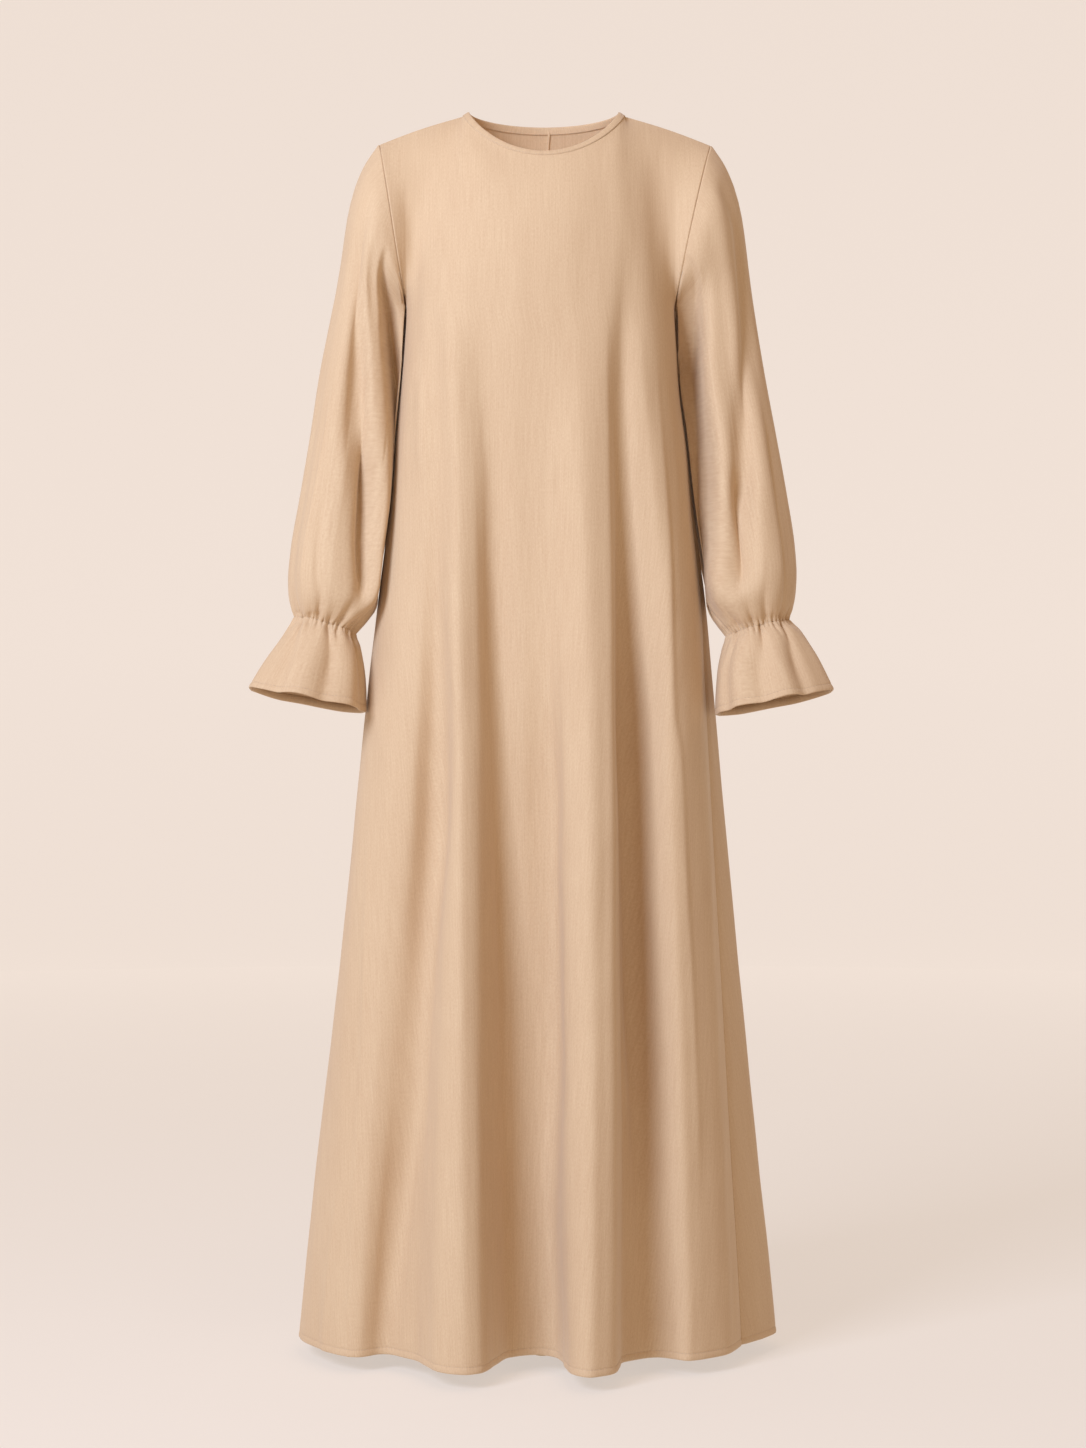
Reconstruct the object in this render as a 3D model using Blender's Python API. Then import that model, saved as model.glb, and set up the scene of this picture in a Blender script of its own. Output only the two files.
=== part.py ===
"""Long A-line abaya with set-in bishop sleeves, filled out as if worn.

Metres, +Z up, front towards -Y. The origin is midway between the two neck
points of the shoulder seams, where the garment is held. Left and right are
the wearer's: the wearer's left is +X.
"""
import math

import bpy
from mathutils import Vector

# Driving sizes
WALL = 0.0015
HEM_WALL = 0.0022
BINDING_WALL = 0.0024
SEAM_GAP = 0.0004
ARMHOLE_GAP = 0.0005
NECK_CENTRE_X = 0.001
SHOULDER_CROWN = 0.002
ARMHOLE_ROWS = 12
RELAX_PASSES = 10
SLEEVE_COLUMNS = 24
SLEEVE_WRAP = 0.42
SLEEVE_CLEARANCE = 0.0030

# Body rows from the underarm down to the hem
BODY_ROWS = (-0.229, -0.270, -0.320, -0.390, -0.470, -0.560, -0.660,
             -0.780, -0.920, -1.060, -1.200, -1.330, -1.418)

# Half widths of the body: height, wearer's right, wearer's left
SIDES = (
    (-0.229, 0.1572, 0.1526),
    (-0.298, 0.1618, 0.1549),
    (-0.368, 0.1688, 0.1642),
    (-0.443, 0.1751, 0.1717),
    (-0.512, 0.1850, 0.1815),
    (-0.581, 0.1919, 0.1896),
    (-0.645, 0.2000, 0.1954),
    (-0.743, 0.2104, 0.2046),
    (-0.870, 0.2231, 0.2162),
    (-0.986, 0.2352, 0.2277),
    (-1.131, 0.2520, 0.2416),
    (-1.275, 0.2688, 0.2566),
    (-1.379, 0.2786, 0.2682),
    (-1.418, 0.2826, 0.2717),
)

# Levels of the fold tables: chest, waist, hip, hem
LEVELS = (-0.229, -0.500, -0.740, -1.418)
FRONT_DEPTH = (0.110, 0.108, 0.119, 0.125)
BACK_DEPTH = (0.098, 0.088, 0.120, 0.135)
FULLNESS = (2.3, 2.4, 2.5, 2.6)

# Fold lines of the front: name, place across at the chest, waist, hip and
# hem, then how far the cloth stands out at the waist, hip and hem
FRONT_FOLDS = (
    ("side_right", -0.1572, -0.1831, -0.2101, -0.2826, 0.000, 0.000, 0.000),
    ("turn_right", -0.1550, -0.1780, -0.2030, -0.2600, 0.000, 0.000, -0.018),
    ("flank_right", -0.1480, -0.1660, -0.1860, -0.2351, 0.000, 0.001, 0.000),
    ("plain_right", -0.1390, -0.1503, -0.1660, -0.2080, 0.000, 0.002, 0.004),
    ("plain_inner_right", -0.1287, -0.1333, -0.1433, -0.1772, 0.000, -0.002, -0.013),
    ("flute_a_foot", -0.1200, -0.1196, -0.1230, -0.1440, -0.002, -0.010, 0.002),
    ("flute_a_edge", -0.1120, -0.1066, -0.1074, -0.1164, 0.005, 0.014, 0.056),
    ("flute_a_crest", -0.1020, -0.0954, -0.0928, -0.0862, 0.011, 0.028, 0.070),
    ("flute_a_inner_edge", -0.0900, -0.0780, -0.0735, -0.0652, 0.007, 0.018, 0.057),
    ("flute_a_inner_foot", -0.0752, -0.0560, -0.0480, -0.0400, -0.007, -0.012, -0.014),
    ("middle", -0.0348, -0.0260, -0.0200, -0.0200, -0.008, -0.016, -0.026),
    ("flute_b_foot", 0.0056, 0.0075, 0.0090, 0.0010, -0.002, -0.010, -0.022),
    ("flute_b_edge", 0.0224, 0.0224, 0.0213, 0.0122, 0.006, 0.014, 0.037),
    ("flute_b_crest", 0.0449, 0.0482, 0.0526, 0.0497, 0.013, 0.032, 0.081),
    ("flute_b_outer_edge", 0.0707, 0.0752, 0.0772, 0.0773, 0.009, 0.026, 0.062),
    ("flute_b_outer_foot", 0.0819, 0.0853, 0.0861, 0.0884, -0.008, -0.010, 0.010),
    ("hollow", 0.0942, 0.0999, 0.1039, 0.1150, -0.012, -0.020, -0.008),
    ("flute_c_crest", 0.1111, 0.1333, 0.1432, 0.1600, 0.006, 0.010, 0.012),
    ("flank_left", 0.1333, 0.1583, 0.1717, 0.1865, 0.002, 0.002, 0.004),
    ("turn_left", 0.1447, 0.1697, 0.1842, 0.2103, -0.006, -0.010, -0.010),
    ("side_left", 0.1526, 0.1770, 0.1911, 0.2287, -0.026, -0.034, -0.048),
)

# Fold lines of the back, from the wearer's left side seam round to the right
BACK_FOLDS = (
    ("turn_left", 0.1522, 0.1799, 0.2043, 0.2715, 0.006, 0.008, 0.016),
    ("flank_left", 0.1460, 0.1720, 0.1940, 0.2590, 0.000, 0.000, 0.010),
    ("side_flute_left", 0.1340, 0.1560, 0.1760, 0.2330, 0.000, 0.003, 0.014),
    ("side_hollow_left", 0.1180, 0.1370, 0.1540, 0.2000, -0.002, -0.006, -0.020),
    ("flute_d_foot", 0.1040, 0.1200, 0.1340, 0.1690, -0.002, -0.008, -0.026),
    ("flute_d_edge", 0.0900, 0.1030, 0.1140, 0.1410, 0.004, 0.012, 0.020),
    ("flute_d_crest", 0.0740, 0.0840, 0.0920, 0.1120, 0.008, 0.024, 0.052),
    ("flute_d_inner_edge", 0.0580, 0.0650, 0.0700, 0.0820, 0.004, 0.012, 0.024),
    ("flute_d_inner_foot", 0.0400, 0.0440, 0.0470, 0.0540, -0.004, -0.008, -0.018),
    ("centre_side_left", 0.0200, 0.0220, 0.0240, 0.0280, -0.003, -0.008, -0.018),
    ("centre_back", 0.0010, 0.0010, 0.0010, 0.0010, -0.004, -0.004, -0.006),
    ("centre_side_right", -0.0220, -0.0250, -0.0280, -0.0340, -0.002, -0.006, -0.016),
    ("flute_e_inner_edge", -0.0400, -0.0460, -0.0500, -0.0600, 0.002, 0.008, 0.022),
    ("flute_e_crest", -0.0560, -0.0650, -0.0720, -0.0880, 0.006, 0.022, 0.056),
    ("flute_e_edge", -0.0720, -0.0840, -0.0930, -0.1140, 0.002, 0.010, 0.030),
    ("flute_e_foot", -0.0880, -0.1030, -0.1150, -0.1420, -0.004, -0.008, -0.018),
    ("side_hollow_right", -0.1040, -0.1220, -0.1360, -0.1720, -0.004, -0.010, -0.024),
    ("side_flute_edge", -0.1200, -0.1410, -0.1580, -0.2040, 0.002, 0.006, 0.010),
    ("side_flute_right", -0.1360, -0.1590, -0.1790, -0.2340, 0.004, 0.010, 0.026),
    ("flank_right", -0.1480, -0.1730, -0.1970, -0.2600, 0.002, 0.006, 0.014),
    ("turn_right", -0.1560, -0.1820, -0.2088, -0.2800, 0.000, 0.002, 0.006),
)

# Shoulder seam and armhole of each side: neck point, shoulder tip, underarm,
# then how the armhole leaves the underarm and reaches the tip at the front
SHOULDERS = {
    "right": {
        "neck": (-0.0930, 0.0, -0.0050),
        "tip": (-0.1896, 0.0, -0.0376),
        "underarm": (-0.1572, 0.0, -0.2290),
        "leave": (-0.0020, 0.0760, 0.0140),
        "reach": (0.0116, 0.0740, -0.0424),
    },
    "left": {
        "neck": (0.0950, 0.0, -0.0050),
        "tip": (0.1942, 0.0, -0.0387),
        "underarm": (0.1526, 0.0, -0.2290),
        "leave": (-0.0026, 0.0760, 0.0140),
        "reach": (-0.0142, 0.0740, -0.0413),
    },
}

# Neckline seam and the finished edge above it: half width, depth forward,
# depth back, height at the shoulder, drop at the front, drop at the back
NECK_SEAM = (0.0940, 0.0710, 0.0570, -0.0050, 0.0585, 0.0110)
NECK_EDGE = (0.0865, 0.0660, 0.0550, 0.0000, 0.0572, 0.0066)

# Sleeve sections: name, outer edge across and up, inner edge across and up,
# centre forward, half depth, rise of the front edge
SLEEVE_SECTIONS = {
    "right": (
        ("upper", -0.2380, -0.2003, -0.1629, -0.2431, 0.0020, 0.0520, 0.000),
        ("biceps", -0.2448, -0.2353, -0.1640, -0.2699, 0.0010, 0.0530, 0.000),
        ("above_elbow", -0.2572, -0.2992, -0.1661, -0.3165, -0.0030, 0.0540, 0.001),
        ("elbow", -0.2682, -0.3748, -0.1733, -0.3921, -0.0100, 0.0560, 0.002),
        ("forearm", -0.2793, -0.4443, -0.1794, -0.4616, -0.0170, 0.0580, 0.003),
        ("fullest", -0.2901, -0.5137, -0.1882, -0.5309, -0.0270, 0.0590, 0.003),
        ("blouson", -0.2922, -0.5425, -0.1890, -0.5563, -0.0300, 0.0580, 0.003),
        ("turn_in", -0.2909, -0.5632, -0.1915, -0.5745, -0.0320, 0.0530, 0.003),
        ("above_gather", -0.2873, -0.5770, -0.2035, -0.5915, -0.0340, 0.0420, 0.003),
        ("gather", -0.2842, -0.5851, -0.2139, -0.6034, -0.0360, 0.0310, 0.003),
        ("ruffle_top", -0.2938, -0.6023, -0.2092, -0.6195, -0.0380, 0.0380, 0.003),
        ("ruffle_mid", -0.3084, -0.6253, -0.2050, -0.6401, -0.0410, 0.0470, 0.004),
        ("ruffle_low", -0.3218, -0.6470, -0.2030, -0.6641, -0.0440, 0.0540, 0.005),
        ("ruffle_hem", -0.3340, -0.6687, -0.2020, -0.6938, -0.0470, 0.0600, 0.006),
    ),
    "left": (
        ("upper", 0.2409, -0.2003, 0.1581, -0.2431, 0.0070, 0.0520, 0.000),
        ("biceps", 0.2459, -0.2353, 0.1592, -0.2699, 0.0080, 0.0530, 0.000),
        ("above_elbow", 0.2560, -0.2992, 0.1622, -0.3246, 0.0060, 0.0540, 0.001),
        ("elbow", 0.2694, -0.3748, 0.1710, -0.3944, -0.0010, 0.0560, 0.002),
        ("forearm", 0.2810, -0.4443, 0.1777, -0.4616, -0.0110, 0.0580, 0.003),
        ("fullest", 0.2896, -0.5080, 0.1868, -0.5274, -0.0210, 0.0590, 0.003),
        ("blouson", 0.2905, -0.5391, 0.1872, -0.5550, -0.0300, 0.0580, 0.003),
        ("turn_in", 0.2886, -0.5621, 0.1890, -0.5740, -0.0320, 0.0530, 0.003),
        ("above_gather", 0.2850, -0.5770, 0.1985, -0.5925, -0.0340, 0.0420, 0.003),
        ("gather", 0.2814, -0.5885, 0.2093, -0.6068, -0.0360, 0.0310, 0.003),
        ("ruffle_top", 0.2938, -0.6012, 0.2046, -0.6229, -0.0380, 0.0380, 0.003),
        ("ruffle_mid", 0.3072, -0.6230, 0.1990, -0.6435, -0.0410, 0.0470, 0.004),
        ("ruffle_low", 0.3189, -0.6470, 0.1965, -0.6687, -0.0440, 0.0540, 0.005),
        ("ruffle_hem", 0.3295, -0.6710, 0.1955, -0.6972, -0.0470, 0.0600, 0.006),
    ),
}

# Folds along a sleeve: name, angle from the outer edge towards the front,
# spread in degrees, stand-out at the upper arm, elbow and fullest section
SLEEVE_FOLDS = {
    "right": (
        ("front_hollow", 122.0, 17.0, -0.0040, -0.0020, 0.0000),
        ("front_line", 92.0, 14.0, -0.0030, -0.0050, -0.0040),
        ("front_ridge", 68.0, 14.0, 0.0020, 0.0020, 0.0020),
        ("outer_line", 28.0, 12.0, -0.0010, -0.0020, -0.0035),
        ("back_hollow", 245.0, 18.0, -0.0060, -0.0040, -0.0020),
        ("back_line", 288.0, 15.0, -0.0030, -0.0050, -0.0040),
    ),
    "left": (
        ("front_hollow", 128.0, 18.0, -0.0020, -0.0020, -0.0010),
        ("front_line", 84.0, 15.0, -0.0030, -0.0050, -0.0040),
        ("front_ridge", 108.0, 13.0, 0.0020, 0.0020, 0.0010),
        ("outer_line", 34.0, 12.0, -0.0010, -0.0020, -0.0040),
        ("back_hollow", 238.0, 18.0, -0.0060, -0.0040, -0.0020),
        ("back_line", 282.0, 15.0, -0.0030, -0.0050, -0.0040),
    ),
}

# Tuck of each sleeve beside the underarm: height, angle of its edge from the
# outer edge towards the front, depth backwards
UNDERARM_TUCKS = {
    "right": (
        (-0.150, 100.0, 0.000), (-0.2025, 106.5, 0.012), (-0.282, 118.0, 0.018),
        (-0.362, 131.5, 0.015), (-0.400, 140.0, 0.006), (-0.430, 150.0, 0.000),
    ),
    "left": (
        (-0.130, 112.0, 0.000), (-0.2025, 110.0, 0.012), (-0.282, 113.0, 0.019),
        (-0.362, 119.5, 0.022), (-0.430, 126.0, 0.022), (-0.499, 129.5, 0.018),
        (-0.556, 134.0, 0.008), (-0.585, 140.0, 0.000),
    ),
}
TUCK_WIDTH = 18.0

# Gathers at each wrist: place round the cuff in degrees, stand-out
WRIST_GATHERS = {
    "right": (
        (6, 0.0019), (25, 0.0026), (44, 0.0017), (62, 0.0024), (81, 0.0020), (99, 0.0029),
        (120, 0.0018), (139, 0.0027), (160, 0.0020), (178, 0.0018), (198, 0.0026), (219, 0.0018),
        (238, 0.0027), (258, 0.0019), (279, 0.0028), (299, 0.0018), (320, 0.0025), (341, 0.0019),
    ),
    "left": (
        (10, 0.0020), (29, 0.0027), (50, 0.0018), (68, 0.0025), (88, 0.0019), (107, 0.0028),
        (127, 0.0018), (146, 0.0024), (166, 0.0019), (187, 0.0026), (207, 0.0018), (226, 0.0026),
        (246, 0.0019), (266, 0.0028), (287, 0.0018), (307, 0.0025), (327, 0.0019), (347, 0.0024),
    ),
}

# Waves of each ruffle: place round the cuff in degrees, stand-out, spread
RUFFLE_WAVES = {
    "right": (
        (20, 0.0040, 15), (58, -0.0034, 13), (88, 0.0036, 14), (116, -0.0040, 10),
        (142, 0.0028, 13), (172, -0.0022, 12), (205, 0.0036, 16), (240, -0.0036, 13),
        (272, 0.0040, 15), (306, -0.0036, 13), (336, 0.0034, 13),
    ),
    "left": (
        (24, 0.0038, 13), (52, -0.0040, 9), (80, 0.0036, 15), (112, -0.0042, 11),
        (144, 0.0030, 15), (176, -0.0022, 12), (208, 0.0036, 15), (240, -0.0036, 13),
        (270, 0.0038, 15), (304, -0.0036, 13), (338, 0.0032, 14),
    ),
}

# Share of the gathers and of the waves at each section near the wrist
GATHER_SHARE = {"above_gather": 0.60, "gather": 0.70, "ruffle_top": 0.60}
WAVE_SHARE = {"ruffle_mid": 0.45, "ruffle_low": 0.80, "ruffle_hem": 1.00}

# Share of its wrap round the body that a sleeve keeps near the wrist
WRAP_SHARE = {
    "blouson": 0.80, "turn_in": 0.50, "above_gather": 0.15, "gather": 0.0,
    "ruffle_top": 0.0, "ruffle_mid": 0.0, "ruffle_low": 0.0, "ruffle_hem": 0.0,
}

CLOTH_COLOURS = {
    "front": (0.560, 0.375, 0.235),
    "back_left": (0.545, 0.363, 0.226),
    "back_right": (0.545, 0.363, 0.227),
    "sleeve_left": (0.556, 0.371, 0.231),
    "sleeve_right": (0.556, 0.371, 0.232),
    "neck_binding": (0.535, 0.355, 0.220),
}


def clear_scene():
    for item in list(bpy.data.objects):
        bpy.data.objects.remove(item, do_unlink=True)


def smooth_value(places, values, place):
    """Value of a smooth curve through a short table, without overshoot."""
    flip = places[0] > places[-1]
    xs = [-p for p in places] if flip else list(places)
    x = -place if flip else place
    x = min(max(x, xs[0]), xs[-1])
    steps = [xs[i + 1] - xs[i] for i in range(len(xs) - 1)]
    slopes = [(values[i + 1] - values[i]) / steps[i] for i in range(len(steps))]
    lean = [slopes[0]]
    for i in range(1, len(slopes)):
        a, b = slopes[i - 1], slopes[i]
        lean.append(0.0 if a * b <= 0.0 else 2.0 * a * b / (a + b))
    lean.append(slopes[-1])
    i = max(k for k in range(len(steps)) if x >= xs[k])
    t = (x - xs[i]) / steps[i]
    h00 = (1 + 2 * t) * (1 - t) ** 2
    h10 = t * (1 - t) ** 2
    h01 = t * t * (3 - 2 * t)
    h11 = t * t * (t - 1)
    base = h00 * values[i] + h01 * values[i + 1]
    return base + steps[i] * (h10 * lean[i] + h11 * lean[i + 1])


def half_width(z, right):
    heights = [row[0] for row in SIDES]
    widths = [row[1 if right else 2] for row in SIDES]
    return smooth_value(heights, widths, z)


def fold_point(row, z, back):
    """Point of one fold line at one height."""
    right = row[1] < 0.0
    shares = [row[1 + i] / half_width(LEVELS[i], right) for i in range(4)]
    share = max(-1.0, min(1.0, smooth_value(LEVELS, shares, z)))
    stand = smooth_value(LEVELS, (0.0,) + tuple(row[5:8]), z)
    depth = smooth_value(LEVELS, BACK_DEPTH if back else FRONT_DEPTH, z)
    power = smooth_value(LEVELS, FULLNESS, z)
    bulge = depth * max(0.0, 1.0 - abs(share) ** power) ** (1.0 / power)
    y = bulge + stand
    return Vector((share * half_width(z, right), y if back else -y, z))


def body_ring(z):
    """Closed section of the body: the front from right to left, then the back."""
    keys = [fold_point(row, z, False) for row in FRONT_FOLDS]
    keys += [fold_point(row, z, True) for row in BACK_FOLDS]
    count = len(keys)
    ring = []
    for i in range(count):
        a, b = keys[i - 1], keys[i]
        c, d = keys[(i + 1) % count], keys[(i + 2) % count]
        ring.append(b.copy())
        ring.append(halfway(a, b, c, d))
    return ring


def halfway(a, b, c, d):
    """Middle of a smooth curve from b to c with neighbours a and d."""
    ab, bc, cd = (b - a).length, (c - b).length, (d - c).length
    lean_b = ((b - a) / ab + (c - b) / bc) * 0.5
    lean_c = ((c - b) / bc + (d - c) / cd) * 0.5
    return (b + c) * 0.5 + (lean_b - lean_c) * (bc * 0.125)


FRONT_COLUMNS = 2 * (len(FRONT_FOLDS) - 1)
RING_COLUMNS = 2 * (len(FRONT_FOLDS) + len(BACK_FOLDS))
CENTRE_COLUMN = 22


def bezier(p, t):
    s = 1.0 - t
    return p[0] * s ** 3 + p[1] * (3 * s * s * t) + p[2] * (3 * s * t * t) + p[3] * t ** 3


def neck_point(size, angle, back):
    """Point of a neck curve; the angle runs from -90 at the wearer's right to 90."""
    half, forward, rear, high, drop_front, drop_back = size
    side = math.sin(angle)
    towards = max(0.0, math.cos(angle))
    sag = towards ** 1.5
    if back:
        return Vector((NECK_CENTRE_X + half * side, rear * towards, high - drop_back * sag))
    return Vector((NECK_CENTRE_X + half * side, -forward * towards, high - drop_front * sag))


def shoulder_point(side, t):
    """Point of a shoulder seam from the tip at 0 to the neck at 1."""
    tip = Vector(SHOULDERS[side]["tip"])
    neck = Vector(SHOULDERS[side]["neck"])
    point = tip.lerp(neck, t)
    point.z += SHOULDER_CROWN * math.sin(math.pi * t)
    return point


def running_lengths(points):
    lengths = [0.0]
    for a, b in zip(points, points[1:]):
        lengths.append(lengths[-1] + (b - a).length)
    return lengths


def at_length(points, lengths, wanted):
    for i in range(1, len(points)):
        if wanted <= lengths[i] or i == len(points) - 1:
            span = lengths[i] - lengths[i - 1]
            t = min(1.0, max(0.0, (wanted - lengths[i - 1]) / span))
            return points[i - 1].lerp(points[i], t)
    return points[-1]


def top_edge(chest, back):
    """Upper edge of a panel for its chest row: point, kind and neck angle."""
    order = ("left", "right") if back else ("right", "left")
    sign = -1.0 if order[0] == "right" else 1.0
    seam = [shoulder_point(order[0], i / 20.0) for i in range(21)]
    angles = [sign * (math.pi / 2) * (1.0 - i / 60.0) for i in range(121)]
    neck = [neck_point(NECK_SEAM, a, back) for a in angles]
    seam_length = running_lengths(seam)[-1]
    neck_lengths = running_lengths(neck)
    far = shoulder_point(order[1], 0.0) - shoulder_point(order[1], 1.0)
    total = seam_length + neck_lengths[-1] + far.length
    run = running_lengths(chest)
    shares = [r / run[-1] for r in run]
    first = nearest(shares, seam_length / total)
    last = nearest(shares, (seam_length + neck_lengths[-1]) / total)
    edge = []
    for i, share in enumerate(shares):
        if i <= first:
            edge.append((shoulder_point(order[0], share / shares[first]), "shoulder", 0.0))
        elif i >= last:
            t = (1.0 - share) / (1.0 - shares[last])
            edge.append((shoulder_point(order[1], t), "shoulder", 0.0))
        else:
            t = (share - shares[first]) / (shares[last] - shares[first])
            length = neck_lengths[-1] * t
            k = max(j for j in range(121) if neck_lengths[j] <= length + 1e-12)
            k = min(k, 119)
            part = (length - neck_lengths[k]) / (neck_lengths[k + 1] - neck_lengths[k])
            angle = angles[k] + (angles[k + 1] - angles[k]) * part
            edge.append((neck_point(NECK_SEAM, angle, back), "neck", angle))
    return edge, first, last


def nearest(values, wanted):
    return min(range(len(values)), key=lambda i: abs(values[i] - wanted))


def collar_direction(angle, back):
    """Direction in which the binding stands up from the neck seam."""
    step = neck_point(NECK_EDGE, angle, back) - neck_point(NECK_SEAM, angle, back)
    return step.normalized()


def upper_patch(chest, below, rising, back):
    """Rows from the chest up to the shoulder seams and the neckline."""
    edge, first, last = top_edge(chest, back)
    run = running_lengths(chest)
    forward = 1.0 if back else -1.0
    columns = []
    for i, start in enumerate(chest):
        top, kind, angle = edge[i]
        over = Vector((0.0, forward, -0.35)).normalized()
        if kind == "neck":
            down = Vector((0.0, forward * 0.55, -0.83))
            over = over.lerp(down, math.cos(angle)).normalized()
        rise = rising[i] * 0.075
        near_neck = min(1.0, i / first, (len(chest) - 1 - i) / (len(chest) - 1 - last))
        fall = over * (0.040 + 0.014 * near_neck)
        for side, gone in side_runs(run, i, back):
            weight = math.exp(-(gone / 0.032) ** 2)
            leave = Vector(SHOULDERS[side]["leave"])
            reach = Vector(SHOULDERS[side]["reach"])
            leave.y *= forward
            reach.y *= forward
            rise = rise.lerp(leave, weight)
            fall = fall.lerp(reach, weight)
        columns.append((start, start + rise, top + fall, top))
    rows = [below, chest]
    for r in range(1, ARMHOLE_ROWS + 1):
        t = r / ARMHOLE_ROWS
        rows.append([bezier(column, t) for column in columns])
    return relaxed(rows)[1:], edge, first, last


def relaxed(rows):
    """The same patch with its inner points evened out between its edges."""
    for _ in range(RELAX_PASSES):
        fresh = [list(row) for row in rows]
        for r in range(1, len(rows) - 1):
            for c in range(1, len(rows[0]) - 1):
                near = rows[r - 1][c] + rows[r + 1][c] + rows[r][c - 1] + rows[r][c + 1]
                fresh[r][c] = rows[r][c] * 0.5 + near * 0.125
        rows = fresh
    return rows


def side_runs(run, i, back):
    near, far = ("left", "right") if back else ("right", "left")
    return ((near, run[i]), (far, run[-1] - run[i]))


def top_normals(edge, first, last, back):
    """Directions across the cloth along the upper edge of a panel."""
    normals = []
    for i, (point, kind, angle) in enumerate(edge):
        before = edge[max(0, i - 1)][0]
        after = edge[min(len(edge) - 1, i + 1)][0]
        along = (after - before).normalized()
        if kind == "neck":
            normal = along.cross(collar_direction(angle, back))
        else:
            normal = along.cross(Vector((0.0, -1.0 if back else 1.0, 0.0)))
        if normal.dot(Vector((point.x, point.y, 0.3))) < 0.0:
            normal.negate()
        normals.append(normal.normalized())
    return normals


def body_panels():
    """Grids of points and directions for the front and the whole back."""
    rings = [body_ring(z) for z in BODY_ROWS]
    below = body_ring(BODY_ROWS[0] - 0.015)
    panels = {}
    for back in (False, True):
        start = FRONT_COLUMNS if back else 0
        stop = RING_COLUMNS if back else FRONT_COLUMNS
        picks = [c % RING_COLUMNS for c in range(start, stop + 1)]
        lower = [[ring[c] for c in picks] for ring in rings]
        chest = lower[0]
        rising = [(chest[i] - below[c]).normalized() for i, c in enumerate(picks)]
        patch, edge, first, last = upper_patch(chest, lower[1], rising, back)
        upper = patch[:0:-1]
        lower[0] = patch[0]
        rows = upper + lower
        beside = []
        for r, row in enumerate(rows):
            k = r - len(upper)
            if k >= 0:
                ring = rings[k]
                beside.append((ring[start - 1], ring[(stop + 1) % RING_COLUMNS]))
            else:
                beside.append((row[0] * 2 - row[1], row[-1] * 2 - row[-2]))
        normals = grid_normals(rows, beside)
        normals[0] = top_normals(edge, first, last, back)
        for r in range(ARMHOLE_ROWS + 1):
            for c in (0, -1):
                outward = 1.0 if rows[r][c].x > 0.0 else -1.0
                normals[r][c].x = outward * max(0.0, outward * normals[r][c].x)
                normals[r][c].normalize()
        panels["back" if back else "front"] = (rows, normals, edge, first, last)
    return panels


def grid_normals(rows, beside):
    """Directions across the cloth of an open grid, away from the body axis."""
    normals = []
    for r, row in enumerate(rows):
        line = []
        above = rows[max(0, r - 1)]
        under = rows[min(len(rows) - 1, r + 1)]
        for c, point in enumerate(row):
            left = row[c - 1] if c > 0 else beside[r][0]
            right = row[c + 1] if c < len(row) - 1 else beside[r][1]
            normal = (right - left).cross(above[c] - under[c])
            if normal.dot(Vector((point.x, point.y, 0.02))) < 0.0:
                normal.negate()
            line.append(normal.normalized())
        normals.append(line)
    return normals


def trim_panel(rows, normals, first_column, last_column, shift_first, shift_last, forward):
    """Part of a grid with its edges drawn back from the seams."""
    count = last_column - first_column + 1
    points = [[p.copy() for p in row[first_column:last_column + 1]] for row in rows]
    across = [[n.copy() for n in line[first_column:last_column + 1]] for line in normals]
    half = SEAM_GAP / 2
    for r, row in enumerate(points):
        if r >= ARMHOLE_ROWS or shift_first == "centre":
            row[0] += (row[1] - row[0]).normalized() * half
        if r >= ARMHOLE_ROWS or shift_last == "centre":
            row[-1] += (row[-2] - row[-1]).normalized() * half
    for c in range(count):
        points[0][c].y += forward * half * 1.2
    return points, across


def panel_mesh(points, across):
    """Closed wall round a grid of outer points."""
    width = len(points[0])
    outer = [p for row in points for p in row]
    inner = []
    last = len(points) - 1
    for r, row in enumerate(points):
        wall = HEM_WALL if r == last else WALL
        inner += [p - across[r][c] * wall for c, p in enumerate(row)]
    faces = []
    for r in range(last):
        for c in range(width - 1):
            a = r * width + c
            b = a + 1
            d = a + width
            e = d + 1
            faces += [(a, d, e), (a, e, b)]
    return close_wall(outer, inner, faces)


def close_wall(outer, inner, faces):
    """Join an outer and an inner skin along every free edge."""
    count = len(outer)
    sides = {}
    for face in faces:
        for k in range(3):
            edge = (face[k], face[(k + 1) % 3])
            sides[edge] = True
    solid = list(faces)
    solid += [tuple(v + count for v in reversed(face)) for face in faces]
    for a, b in sides:
        if (b, a) not in sides:
            solid.append((b, a, a + count))
            solid.append((b, a + count, b + count))
    points = outer + inner
    if signed_volume(points, solid) < 0.0:
        solid = [tuple(reversed(face)) for face in solid]
    return points, solid


def signed_volume(points, faces):
    total = 0.0
    for a, b, c in faces:
        total += points[a].dot(points[b].cross(points[c]))
    return total / 6.0


def cloth_material(name):
    material = bpy.data.materials.new(name + "_cloth")
    material.use_nodes = True
    shader = material.node_tree.nodes["Principled BSDF"]
    red, green, blue = CLOTH_COLOURS[name]
    shader.inputs["Base Color"].default_value = (red, green, blue, 1.0)
    shader.inputs["Roughness"].default_value = 0.85
    shader.inputs["Metallic"].default_value = 0.0
    return material


def add_solid(name, points, faces):
    """Named solid with its own origin at the middle of its box."""
    low = [min(p[i] for p in points) for i in range(3)]
    high = [max(p[i] for p in points) for i in range(3)]
    middle = Vector([(a + b) / 2 for a, b in zip(low, high)])
    mesh = bpy.data.meshes.new(name)
    mesh.from_pydata([tuple(p - middle) for p in points], [], faces)
    mesh.update()
    mesh.materials.append(cloth_material(name))
    item = bpy.data.objects.new(name, mesh)
    item.location = middle
    bpy.context.scene.collection.objects.link(item)
    return item


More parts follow.
